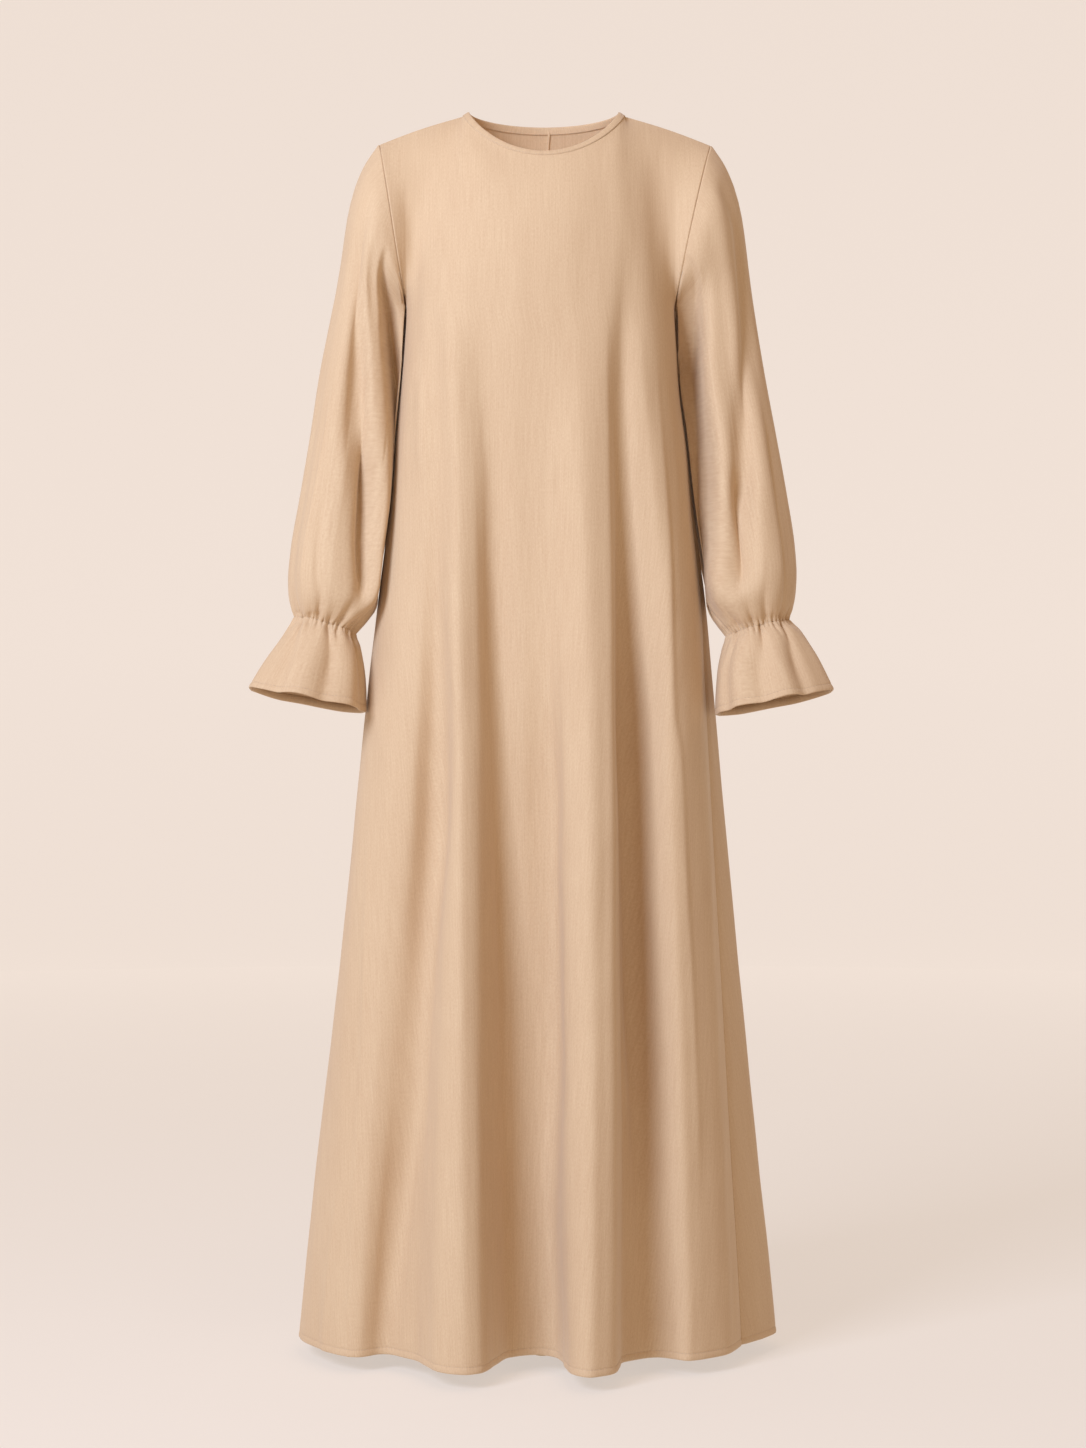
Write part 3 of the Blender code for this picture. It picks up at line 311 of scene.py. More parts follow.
BACK_CREASES = (
    ("yoke_ridge_left", 0.0030, 0.012, 0.012,
     ((-0.160, 0.060), (-0.300, 0.064), (-0.450, 0.070), (-0.600, 0.078))),
    ("yoke_ridge_right", 0.0034, 0.012, 0.012,
     ((-0.180, -0.050), (-0.320, -0.054), (-0.480, -0.062), (-0.640, -0.070))),
    ("hollow_left", -0.0040, 0.009, 0.010,
     ((-0.240, 0.100), (-0.420, 0.108), (-0.620, 0.122), (-0.900, 0.138), (-1.200, 0.155))),
    ("hollow_right", -0.0036, 0.010, 0.009,
     ((-0.260, -0.086), (-0.460, -0.098), (-0.700, -0.112), (-1.000, -0.126), (-1.300, -0.138))),
    ("thin_crease_left", 0.0018, 0.0026, 0.0060,
     ((-0.520, 0.030), (-0.760, 0.034), (-1.000, 0.038), (-1.180, 0.041))),
    ("thin_crease_right", 0.0016, 0.0060, 0.0028,
     ((-0.600, -0.128), (-0.820, -0.144), (-1.050, -0.160), (-1.220, -0.172))),
    ("side_crease_left", 0.0014, 0.0050, 0.0026,
     ((-0.760, 0.186), (-0.960, 0.202), (-1.200, 0.222))),
    ARMHOLE_DRAG_RIGHT,
    ("armhole_drag_left", -0.0022, 0.009, 0.008,
     ((-0.100, 0.160), (-0.155, 0.150), (-0.225, 0.142), (-0.310, 0.141))),
)

# Creases of the sleeves: name, stand-out, spread before and after in degrees,
# then the places (height, angle from the outer edge towards the front)
SLEEVE_CREASES = {
    "right": (
        ("cap_ridge", 0.0014, 14.0, 12.0, ((-0.075, 58.0), (-0.140, 56.0), (-0.230, 54.0))),
        ("long_fold", -0.0100, 14.0, 9.0,
         ((-0.140, 56.0), (-0.2025, 66.0), (-0.282, 87.0), (-0.362, 100.0), (-0.430, 113.0),
          (-0.499, 122.0), (-0.556, 128.0), (-0.595, 131.0))),
        ("long_fold_foot", -0.0150, 8.0, 7.0,
         ((-0.385, 104.0), (-0.430, 112.0), (-0.499, 120.0), (-0.556, 126.0), (-0.610, 129.0))),
        ("long_ridge", 0.0030, 6.0, 7.0,
         ((-0.170, 80.0), (-0.2025, 84.0), (-0.282, 102.0), (-0.362, 114.0), (-0.430, 127.0))),
        ("inner_turn", -0.0090, 14.0, 20.0,
         ((-0.360, 152.0), (-0.430, 148.0), (-0.499, 150.0), (-0.560, 156.0))),
        ("front_fill", 0.0050, 13.0, 12.0,
         ((-0.390, 88.0), (-0.440, 90.0), (-0.500, 91.0), (-0.575, 92.0))),
        ("short_dip", -0.0024, 7.0, 7.0, ((-0.450, 68.0), (-0.520, 72.0), (-0.590, 77.0))),
        ("thin_crease", 0.0016, 3.0, 5.0,
         ((-0.345, 57.0), (-0.440, 54.0), (-0.515, 52.0), (-0.580, 50.0))),
        ("back_fold", -0.0036, 12.0, 9.0,
         ((-0.110, 262.0), (-0.200, 250.0), (-0.300, 232.0), (-0.400, 222.0))),
        ("back_line", -0.0030, 10.0, 7.0,
         ((-0.240, 300.0), (-0.360, 286.0), (-0.470, 268.0), (-0.580, 256.0))),
        ("back_crease", 0.0018, 3.0, 5.0, ((-0.380, 318.0), (-0.480, 308.0), (-0.580, 300.0))),
    ),
    "left": (
        ("cap_ridge", 0.0014, 12.0, 14.0, ((-0.085, 66.0), (-0.160, 68.0), (-0.240, 72.0))),
        ("front_fold", -0.0100, 19.0, 15.0,
         ((-0.130, 28.0), (-0.2025, 36.0), (-0.282, 49.0), (-0.362, 73.0), (-0.430, 88.0),
          (-0.499, 102.0), (-0.560, 106.0))),
        ("front_fold_foot", -0.0110, 10.0, 11.0,
         ((-0.420, 86.0), (-0.470, 96.0), (-0.505, 103.0), (-0.560, 108.0))),
        ("front_fill", 0.0036, 12.0, 12.0, ((-0.440, 80.0), (-0.500, 81.0), (-0.575, 82.0))),
        ("thin_crease", -0.0026, 6.0, 4.0,
         ((-0.370, 38.0), (-0.430, 43.0), (-0.499, 46.0), (-0.556, 45.0), (-0.590, 42.0))),
        ("inner_fold", -0.0034, 6.0, 7.0, ((-0.530, 152.0), (-0.565, 158.0), (-0.600, 162.0))),
        ("back_fold", -0.0036, 12.0, 9.0,
         ((-0.110, 266.0), (-0.200, 254.0), (-0.300, 238.0), (-0.400, 226.0))),
        ("back_line", -0.0030, 10.0, 7.0,
         ((-0.240, 304.0), (-0.360, 290.0), (-0.470, 274.0), (-0.580, 262.0))),
        ("back_crease", 0.0018, 5.0, 3.0, ((-0.360, 322.0), (-0.460, 312.0), (-0.575, 304.0))),
    ),
}

# Crease in the fold behind the underarm: spread before and after in degrees,
# then height, angle, depth backwards
TUCK_CREASES = {
    "right": (5.0, 7.0, (
        (-0.150, 101.0, 0.000), (-0.2025, 110.5, 0.010), (-0.282, 121.0, 0.026),
        (-0.362, 131.0, 0.028), (-0.430, 141.0, 0.016), (-0.500, 150.0, 0.006), (-0.560, 156.0, 0.000),
    )),
    "left": (8.0, 34.0, (
        (-0.170, 104.0, 0.000), (-0.2025, 108.0, 0.005), (-0.250, 113.0, 0.016),
        (-0.300, 119.0, 0.032), (-0.362, 120.0, 0.036), (-0.430, 123.0, 0.040),
        (-0.499, 130.0, 0.038), (-0.556, 139.0, 0.026), (-0.590, 146.0, 0.000),
    )),
}

# Folds gathered by the elastic at each wrist: place round the cuff in degrees,
# stand-out and reach up the sleeve, stand-out and reach down the ruffle, spread
# in degrees, drift in degrees as the fold runs down
WRIST_GATHERS = {
    "right": (
        (10, 0.0016, 0.020, 0.0014, 0.020, 6, 0), (22, -0.0024, 0.024, -0.0022, 0.020, 5, 0),
        (34, -0.0036, 0.032, 0.0, 0.012, 5, 0), (41, 0.0, 0.010, -0.0052, 0.048, 6, 14),
        (56, 0.0020, 0.030, 0.0022, 0.055, 5, 12), (67, -0.0024, 0.013, -0.0022, 0.012, 4, 0),
        (78, -0.0046, 0.050, -0.0018, 0.011, 5, 0), (90, 0.0022, 0.034, 0.0014, 0.030, 6, 0),
        (101, -0.0008, 0.010, -0.0054, 0.052, 6, 9), (109, 0.0014, 0.020, 0.0010, 0.014, 4, 0),
        (117, -0.0050, 0.044, -0.0036, 0.017, 5, 0), (129, 0.0018, 0.030, 0.0016, 0.030, 6, 0),
        (142, -0.0036, 0.019, -0.0024, 0.013, 5, 0), (158, -0.0042, 0.040, -0.0050, 0.060, 6, 4),
        (180, 0.0016, 0.022, 0.0014, 0.022, 7, 0), (198, -0.0040, 0.040, -0.0036, 0.046, 6, 5),
        (219, 0.0018, 0.018, 0.0016, 0.020, 6, 0), (238, -0.0046, 0.042, -0.0050, 0.052, 6, -8),
        (258, -0.0024, 0.018, -0.0022, 0.014, 5, 0), (279, -0.0044, 0.048, -0.0018, 0.016, 6, 0),
        (292, 0.0, 0.010, -0.0050, 0.050, 6, 8), (309, 0.0018, 0.026, 0.0016, 0.026, 6, 0),
        (322, -0.0040, 0.034, -0.0040, 0.044, 6, -6), (343, -0.0026, 0.020, -0.0024, 0.018, 5, 0),
    ),
    "left": (
        (8, 0.0014, 0.020, 0.0014, 0.020, 6, 0), (22, -0.0034, 0.022, -0.0018, 0.014, 5, 0),
        (33, 0.0014, 0.020, 0.0012, 0.016, 5, 0), (44, -0.0040, 0.030, -0.0056, 0.056, 6, 14),
        (63, -0.0020, 0.012, -0.0030, 0.014, 4, 0), (76, -0.0044, 0.046, -0.0016, 0.012, 5, 0),
        (88, 0.0, 0.010, -0.0054, 0.064, 6, 9), (100, -0.0040, 0.030, -0.0016, 0.012, 5, 0),
        (112, 0.0014, 0.022, 0.0012, 0.020, 6, 0), (128, -0.0038, 0.026, -0.0018, 0.012, 6, 0),
        (139, 0.0, 0.010, -0.0046, 0.036, 6, 7), (161, -0.0042, 0.044, -0.0030, 0.030, 6, 0),
        (182, 0.0016, 0.022, 0.0014, 0.022, 7, 0), (200, -0.0038, 0.036, -0.0042, 0.050, 6, -6),
        (221, -0.0026, 0.018, -0.0022, 0.014, 5, 0), (240, -0.0046, 0.046, -0.0050, 0.048, 6, 7),
        (262, 0.0018, 0.020, 0.0016, 0.020, 6, 0), (279, -0.0042, 0.040, -0.0022, 0.018, 6, 0),
        (294, -0.0018, 0.014, -0.0052, 0.054, 6, -8), (313, 0.0018, 0.024, 0.0016, 0.024, 6, 0),
        (328, -0.0040, 0.034, -0.0036, 0.040, 6, 6), (347, -0.0024, 0.020, -0.0022, 0.016, 5, 0),
    ),
}

# Flutes of each ruffle: place round the cuff in degrees, stand-out, spread
RUFFLE_WAVES = {
    "right": (
        (22, 0.0044, 15), (56, -0.0040, 10), (88, 0.0042, 14), (114, -0.0050, 10), (140, 0.0034, 12),
        (166, -0.0030, 10), (205, 0.0036, 16), (240, -0.0036, 13), (272, 0.0040, 15), (306, -0.0036, 13),
        (336, 0.0034, 13),
    ),
    "left": (
        (24, 0.0042, 13), (58, -0.0052, 9), (80, 0.0040, 12), (103, -0.0046, 10), (126, 0.0034, 11),
        (150, -0.0030, 9), (176, -0.0014, 10), (208, 0.0036, 15), (240, -0.0036, 13), (270, 0.0038, 15),
        (304, -0.0036, 13), (338, 0.0032, 14),
    ),
}

# Sewing, from the photo's scale of 1.16 mm a pixel
CLOTH_THICKNESS = 0.0007
STITCH_LENGTH = 0.0026
STITCH_GAP = 0.0012
THREAD_WIDTH = 0.00056
# Rings of one stitch: place along it, thickness, lift out of the cloth
STITCH_RINGS = ((-0.50, 0.35, -1.1), (-0.40, 0.95, 0.0), (0.0, 1.0, 0.35), (0.40, 0.95, 0.0),
                (0.50, 0.35, -1.1))
STITCH_SIDES = 6

# Hems: height of the stitch row, depth of its groove, swell of the turned cloth
# below it and half the height of that swell
BODY_HEM = (0.0080, 0.00042, 0.00026, 0.0026)
CUFF_HEM = (0.0075, 0.00038, 0.00024, 0.0024)
HEM_GROOVE_WIDTH = 0.0011

# Rolled edge of a seam or hem, from its free end inside back out to the panel:
# distance into the panel and outwards, in metres
SEAM_ROLL = (
    (0.0070, -0.00225), (0.0028, -0.00225), (0.0010, -0.00215), (0.0003, -0.00175),
    (0.0001, -0.0011), (0.0003, -0.0005), (0.0009, -0.00012), (0.0018, 0.0),
)
CENTRE_ROLL = (
    (0.0016, -0.0010), (0.0011, -0.0010), (0.0007, -0.0010), (0.0004, -0.0009),
    (-0.00014, -0.0006), (-0.00012, -0.0003), (0.0003, -0.0001), (0.0012, 0.0),
)
# The front's turning and one edge of the centre back reach behind their neighbour
COVER_ROLL = (
    (0.0070, -0.0031), (0.0018, -0.0031), (-0.0008, -0.0030), (-0.0011, -0.0025),
    (-0.0004, -0.0018), (0.0002, -0.0009), (0.0008, -0.00016), (0.0018, 0.0),
)
CENTRE_COVER_ROLL = (
    (0.0016, -0.0017), (0.0010, -0.0019), (-0.0004, -0.0019), (-0.0007, -0.0015),
    (-0.0003, -0.0010), (0.0001, -0.0005), (0.0004, -0.0001), (0.0012, 0.0),
)
HEM_ROLL = (
    (0.0092, -0.0022), (0.0030, -0.0022), (0.0010, -0.0021), (0.0003, -0.0017),
    (0.0000, -0.0011), (0.0003, -0.0005), (0.0009, -0.00012), (0.0019, 0.0),
)
# Rise of a panel's neck edge between the legs of the binding
NECK_RISE = (0.0052, 0.0038, 0.0026, 0.0016, 0.0007, 0.0, -0.0009, -0.0019)

# Section of the neck binding's outer leg: share of its height, share of its stand-off.
# Then the stand-off, the shift inwards, the swell of the outer leg, the thickness of
# its cloth, and the height of its stitches as a share of its own
BINDING_LEG = ((0.03, 1.0), (0.20, 1.06), (0.45, 1.12), (0.70, 1.08), (0.86, 0.95), (0.955, 0.62))
BINDING_HALF = 0.00088
BINDING_SHIFT = 0.00035
BINDING_SWELL = 0.00012
BINDING_CLOTH = 0.0005
BINDING_STITCH = 0.17

# The cloth sinks in beside the side seams, and creases run out before the edges
SEAM_DIP = 0.0017
SEAM_DIP_WIDTH = 0.0042
SEAM_MARGIN = 0.0030
CREASE_RUN_OUT = 0.012
# Wander of a crease beside its path and swing of its strength: amount, radians a
# metre, step from one crease to the next. Then the share of its length in which it
# fades, how far into the fade its ends are, and the height below which it runs
# into the hem
CREASE_WANDER = (0.03, 41.0, 2.1)
CREASE_SWING = (0.22, 17.0, 1.7)
CREASE_FADE = 0.30
CREASE_END = 0.35
CREASE_TO_HEM = -1.380
# Faint waves of the cloth: depth, then least length and step of length, across and down
UNEVEN_DEPTH = 0.00016
UNEVEN_ACROSS = (0.030, 0.013)
UNEVEN_DOWN = (0.210, 0.085)
# Length of one ripple along the turned hem
HEM_RIPPLE = 0.031
# Recess beside the second flute: height where its easing starts and the way down
# to full strength, its middle, half width and soft border, share and number of passes
RECESS_HEIGHT = (-1.12, 0.12)
RECESS_PLACE = (-0.0065, 0.026, 0.014)
RECESS_SHARE = 0.25
RECESS_PASSES = 24

# Inner side of a sleeve, as the cosine of the angle from its outer edge
INNER_SIDE = -0.55
# Tuck of a sleeve: soft border in degrees and how far past its middle the cloth goes
TUCK_BORDER = 9.0
TUCK_PAST_MIDDLE = 0.006
# Angles at which the inner side bends round the body, and their spread
WRAP_ANGLES = (136.0, 224.0)
WRAP_SPREAD = 24.0
# Puckers of the elastic: half their number round the cuff, how high they are, how
# far the elastic draws them in, reach up and down
PUCKER_COUNT = 20
PUCKER_HEIGHT = 0.0026
PUCKER_DEPTH = 0.0018
PUCKER_REACH = (0.0075, 0.0060)
# Groove of the elastic stitching: depth and half width
ELASTIC_GROOVE = (0.0010, 0.0014)
# Way down the ruffle in which its flutes grow to their full depth
FLUTE_GROWTH = 0.060

# Way outwards along x on each side
OUTWARD = {"right": -1.0, "left": 1.0}

# Columns of the coarse rings and of the fine cloth
FRONT_COLUMNS = 2 * (len(FRONT_FOLDS) - 1)
RING_COLUMNS = 2 * (len(FRONT_FOLDS) + len(BACK_FOLDS))
CENTRE_COLUMN = 22
FINE_FRONT_COLUMNS = 226
FINE_BACK_COLUMNS = 120
FINE_SLEEVE_COLUMNS = 360

# Paper studio: height and reach of the floor, bend and top of the wall, room light
FLOOR_HEIGHT = -1.436
FLOOR_REACH = 5.5
WALL_BEND = 1.0
WALL_TOP = 4.0
ROOM_COLOUR = (1.0, 0.58, 0.25, 1.0)

# Lights: name, place, aim, size, colour
LIGHTS = (
    ("key", (-2.15, -3.1, 1.2), (0.0, 0.0, -0.65), 1.5, (0.89, 1.03, 1.32)),
    ("fill", (2.6, -3.2, 0.3), (0.0, 0.0, -0.7), 2.2, (1.0, 0.97, 0.95)),
    ("top", (0.05, -0.9, 1.5), (0.0, 0.04, -0.03), 0.5, (1.0, 0.92, 0.82)),
    ("neck", (0.0, -0.02, -0.15), (0.0, 0.075, -0.035), 0.07, (1.0, 0.69, 0.49)),
)


def column(table, k):
    """One column of a table."""
    return [row[k] for row in table]


def smooth_value(places, values, place):
    """Value of a smooth curve through a short table, without overshoot."""
    flip = places[0] > places[-1]
    xs = [-p for p in places] if flip else list(places)
    x = -place if flip else place
    x = min(max(x, xs[0]), xs[-1])
    steps = [xs[i + 1] - xs[i] for i in range(len(xs) - 1)]
    slopes = [(values[i + 1] - values[i]) / steps[i] for i in range(len(steps))]
    lean = [slopes[0]]
    for i in range(1, len(slopes)):
        a, b = slopes[i - 1], slopes[i]
        lean.append(0.0 if a * b <= 0.0 else 2.0 * a * b / (a + b))
    lean.append(slopes[-1])
    i = max(k for k in range(len(steps)) if x >= xs[k])
    t = (x - xs[i]) / steps[i]
    h00 = (1 + 2 * t) * (1 - t) ** 2
    h10 = t * (1 - t) ** 2
    h01 = t * t * (3 - 2 * t)
    h11 = t * t * (t - 1)
    base = h00 * values[i] + h01 * values[i + 1]
    return base + steps[i] * (h10 * lean[i] + h11 * lean[i + 1])


def half_width(z, right):
    """Distance from the middle of the body to its side seam."""
    return smooth_value(column(SIDES, 0), column(SIDES, 1 if right else 2), z)


def fold_point(row, z, back):
    """Point of one fold line at one height."""
    right = row[1] < 0.0
    shares = [row[1 + i] / half_width(LEVELS[i], right) for i in range(4)]
    share = max(-1.0, min(1.0, smooth_value(LEVELS, shares, z)))
    stand = smooth_value(LEVELS, (0.0,) + tuple(row[5:8]), z)
    depth = smooth_value(LEVELS, BACK_DEPTH if back else FRONT_DEPTH, z)
    power = smooth_value(LEVELS, FULLNESS, z)
    bulge = depth * max(0.0, 1.0 - abs(share) ** power) ** (1.0 / power)
    y = bulge + stand
    return Vector((share * half_width(z, right), y if back else -y, z))


def body_ring(z):
    """Closed section of the body: the front from right to left, then the back."""
    keys = [fold_point(row, z, False) for row in FRONT_FOLDS]
    keys += [fold_point(row, z, True) for row in BACK_FOLDS]
    count = len(keys)
    ring = []
    for i in range(count):
        a, b = keys[i - 1], keys[i]
        c, d = keys[(i + 1) % count], keys[(i + 2) % count]
        ring.append(b.copy())
        ring.append(halfway(a, b, c, d))
    return ring


def halfway(a, b, c, d):
    """Middle of a smooth curve from b to c with neighbours a and d."""
    ab, bc, cd = (b - a).length, (c - b).length, (d - c).length
    lean_b = ((b - a) / ab + (c - b) / bc) * 0.5
    lean_c = ((c - b) / bc + (d - c) / cd) * 0.5
    return (b + c) * 0.5 + (lean_b - lean_c) * (bc * 0.125)


def bezier(p, t):
    """Point of a curve between four guide points."""
    s = 1.0 - t
    return p[0] * s ** 3 + p[1] * (3 * s * s * t) + p[2] * (3 * s * t * t) + p[3] * t ** 3


def neck_point(size, angle, back):
    """Point of a neck curve; the angle runs from -90 at the wearer's right to 90."""
    half, forward, rear, high, drop_front, drop_back = size
    side = math.sin(angle)
    towards = max(0.0, math.cos(angle))
    sag = towards ** 1.5
    if back:
        return Vector((NECK_CENTRE_X + half * side, rear * towards, high - drop_back * sag))
    return Vector((NECK_CENTRE_X + half * side, -forward * towards, high - drop_front * sag))


def shoulder_point(side, t):
    """Point of a shoulder seam from the tip at 0 to the neck at 1."""
    tip = Vector(SHOULDERS[side]["tip"])
    neck = Vector(SHOULDERS[side]["neck"])
    point = tip.lerp(neck, t)
    point.z += SHOULDER_CROWN * math.sin(math.pi * t)
    return point


def running_lengths(points):
    """Distances along a line of points."""
    steps = [(b - a).length for a, b in zip(points, points[1:])]
    return list(itertools.accumulate(steps, initial=0.0))


def nearest(values, wanted):
    """Place in a list of the value nearest to the wanted one."""
    return min(range(len(values)), key=lambda i: abs(values[i] - wanted))


def top_edge(chest, back):
    """Upper edge of a panel for its chest row: point, kind and neck angle."""
    order = ("left", "right") if back else ("right", "left")
    sign = 1.0 if back else -1.0
    seam = [shoulder_point(order[0], i / 20.0) for i in range(21)]
    angles = [sign * (math.pi / 2) * (1.0 - i / 60.0) for i in range(121)]
    neck = [neck_point(NECK_SEAM, a, back) for a in angles]
    seam_length = running_lengths(seam)[-1]
    neck_lengths = running_lengths(neck)
    far = shoulder_point(order[1], 0.0) - shoulder_point(order[1], 1.0)
    total = seam_length + neck_lengths[-1] + far.length
    run = running_lengths(chest)
    shares = [r / run[-1] for r in run]
    first = nearest(shares, seam_length / total)
    last = nearest(shares, (seam_length + neck_lengths[-1]) / total)
    edge = []
    for i, share in enumerate(shares):
        if i <= first:
            edge.append((shoulder_point(order[0], share / shares[first]), "shoulder", 0.0))
        elif i >= last:
            t = (1.0 - share) / (1.0 - shares[last])
            edge.append((shoulder_point(order[1], t), "shoulder", 0.0))
        else:
            t = (share - shares[first]) / (shares[last] - shares[first])
            length = neck_lengths[-1] * t
            k = max(j for j in range(121) if neck_lengths[j] <= length + 1e-12)
            k = min(k, 119)
            part = (length - neck_lengths[k]) / (neck_lengths[k + 1] - neck_lengths[k])
            angle = angles[k] + (angles[k + 1] - angles[k]) * part
            edge.append((neck_point(NECK_SEAM, angle, back), "neck", angle))
    return edge, first, last


def relaxed(rows):
    """The same patch with its inner points evened out between its edges."""
    for _ in range(RELAX_PASSES):
        fresh = [list(row) for row in rows]
        for r in range(1, len(rows) - 1):
            for c in range(1, len(rows[0]) - 1):
                near = rows[r - 1][c] + rows[r + 1][c] + rows[r][c - 1] + rows[r][c + 1]
                fresh[r][c] = rows[r][c] * 0.5 + near * 0.125
        rows = fresh
    return rows


def upper_patch(chest, below, rising, back):
    """Rows from the chest up to the shoulder seams and the neckline."""
    edge, first, last = top_edge(chest, back)
    run = running_lengths(chest)
    forward = 1.0 if back else -1.0
    near, far = ("left", "right") if back else ("right", "left")
    columns = []
    for i, start in enumerate(chest):
        top, kind, angle = edge[i]
        over = Vector((0.0, forward, SHOULDER_SLOPE)).normalized()
        if kind == "neck":
            down = Vector((0.0, forward * NECK_SLOPE[0], NECK_SLOPE[1]))
            over = over.lerp(down, math.cos(angle)).normalized()
        rise = rising[i] * CHEST_RISE
        near_neck = min(1.0, i / first, (len(chest) - 1 - i) / (len(chest) - 1 - last))
        fall = over * (SHOULDER_REACH + NECK_REACH * near_neck)
        for side, gone in ((near, run[i]), (far, run[-1] - run[i])):
            weight = math.exp(-(gone / ARMHOLE_HOLD) ** 2)
            leave = Vector(SHOULDERS[side]["leave"])
            reach = Vector(SHOULDERS[side]["reach"])
            leave.y *= forward
            reach.y *= forward
            rise = rise.lerp(leave, weight)
            fall = fall.lerp(reach, weight)
        columns.append((start, start + rise, top + fall, top))
    rows = [below, chest]
    for r in range(1, ARMHOLE_ROWS + 1):
        t = r / ARMHOLE_ROWS
        rows.append([bezier(column, t) for column in columns])
    return relaxed(rows)[1:], first, last


def unit(vectors):
    """The same vectors at length one."""
    lengths = np.linalg.norm(vectors, axis=-1, keepdims=True)
    return vectors / np.maximum(lengths, 1e-12)


def smooth_step(values):
    """0 below 0, 1 above 1 and an S curve between."""
    t = np.clip(values, 0.0, 1.0)
    return t * t * (3.0 - 2.0 * t)


def hump(gap, spread):
    """Bell curve: 1 in the middle, 0.37 at the spread."""
    return np.exp(-((gap / spread) ** 2))


def round_gap(gap):
    """Gap between two angles in degrees, the short way round."""
    return (gap + 180.0) % 360.0 - 180.0


def spaced(stops, steps):
    """Places from the first stop to the last, near the wanted step in each stretch."""
    places = [stops[0]]
    for a, b, step in zip(stops, stops[1:], steps):
        count = max(1, round((b - a) / step))
        places += [a + (b - a) * k / count for k in range(1, count + 1)]
    return np.array(places)


def knots_of(grid):
    """Mean distances between neighbouring rows of a grid, added up."""
    steps = np.linalg.norm(np.diff(grid, axis=0), axis=2).mean(axis=1)
    return np.concatenate([[0.0], np.cumsum(steps)])


def resampled(grid, knots, places):
    """Rows at the given places on smooth curves through the rows of a grid."""
    slopes = np.gradient(grid, knots, axis=0)
    i = np.clip(np.searchsorted(knots, places, side="right") - 1, 0, len(knots) - 2)
    step = (knots[i + 1] - knots[i])[:, None, None]
    t = (places - knots[i])[:, None, None] / step
    start = (1 + 2 * t) * (1 - t) ** 2
    stop = t * t * (3 - 2 * t)
    value = start * grid[i] + stop * grid[i + 1]
    value += step * t * (1 - t) ** 2 * slopes[i]
    return value - step * t * t * (1 - t) * slopes[i + 1]


def turned(grid):
    """The grid with its rows and columns exchanged."""
    return np.swapaxes(grid, 0, 1)


def table_values(heights, values, wanted):
    """Values of a short table at all wanted heights, on a smooth curve."""
    samples = np.linspace(heights[-1], heights[0], 60)
    curve = [smooth_value(heights, values, h) for h in samples]
    return np.interp(wanted, samples, curve)


def on_table(table, k, height):
    """Values of one column of a table of heights."""
    return table_values(column(table, 0), column(table, k), height)


def crease_stand(creases, place, height, closed=False):
    """How far the creases move each point of the cloth outwards."""
    total = np.zeros_like(height)
    for number, (_, stand, before, after, path) in enumerate(creases):
        high, low = path[0][0], path[-1][0]
        amount, rate, step = CREASE_WANDER
        wander = amount * min(before, after) * np.sin(height * rate + number * step)
        gap = place - on_table(path, 1, height) - wander
        if closed:
            gap = round_gap(gap)
        spread = np.where(gap < 0.0, before, after)
        ease = CREASE_FADE * (high - low)
        fade = smooth_step((high - height) / ease + CREASE_END)
        if low > CREASE_TO_HEM:
            fade = fade * smooth_step((height - low) / ease + CREASE_END)
        amount, rate, step = CREASE_SWING
        strength = 1.0 + amount * np.sin(height * rate + number * step)
        total += stand * strength * fade * hump(gap, spread)
    return total


def unevenness(across, height, seed):
    """Faint long waves of cloth that hangs."""
    total = np.zeros_like(across)
    for k in range(6):
        wide = UNEVEN_ACROSS[0] + UNEVEN_ACROSS[1] * ((seed * 3 + k * 5) % 7)
        tall = UNEVEN_DOWN[0] + UNEVEN_DOWN[1] * ((seed * 2 + k * 3) % 5)
        phase = 1.9 * k + 0.7 * seed
        lean = 0.6 * math.sin(phase * 2.3)
        waves = np.sin(across * 2 * math.pi / wide + phase + lean * np.sin(height * 9.0))
        total += waves * np.cos(height * 2 * math.pi / tall + phase * 1.3)
    return total * UNEVEN_DEPTH


def surface_normals(grid, outward, closed):
    """Directions across the cloth at each point of a grid."""
    down = np.gradient(grid, axis=0)
    if closed:
        across = np.roll(grid, -1, axis=1) - np.roll(grid, 1, axis=1)
    else:
        across = np.gradient(grid, axis=1)
    return unit(np.cross(across, down)) * outward


def rolled_lines(edge, second, normals, profile):
    """Lines of points for a rolled edge."""
    inward = unit(second - edge)
    return [edge + inward * a + normals * n for a, n in profile]


def rolled_first_row(grid, normals, profile):
    """The grid with its upper edge rolled in."""
    lines = rolled_lines(grid[0], grid[1], normals[0], profile)
    return np.concatenate([np.array(lines), grid[1:]], axis=0)


def rolled_last_row(grid, normals, profile):
    """The grid with its lower edge rolled in."""
    lines = rolled_lines(grid[-1], grid[-2], normals[-1], profile)
    return np.concatenate([grid[:-1], np.array(lines[::-1])], axis=0)


def coarse_panel(back):
    """Rows of points of the front or the whole back, from shoulders to hem."""
    rings = [body_ring(z) for z in BODY_ROWS]
    below = body_ring(BODY_ROWS[0] - 0.015)
    start = FRONT_COLUMNS if back else 0
    stop = RING_COLUMNS if back else FRONT_COLUMNS
    picks = [c % RING_COLUMNS for c in range(start, stop + 1)]
    lower = [[ring[c] for c in picks] for ring in rings]
    chest = lower[0]
    rising = [(chest[i] - below[c]).normalized() for i, c in enumerate(picks)]
    patch, first, last = upper_patch(chest, lower[1], rising, back)
    rows = patch[:0:-1] + [patch[0]] + lower[1:]
    grid = np.array([[tuple(p) for p in row] for row in rows])
    return grid, first, last


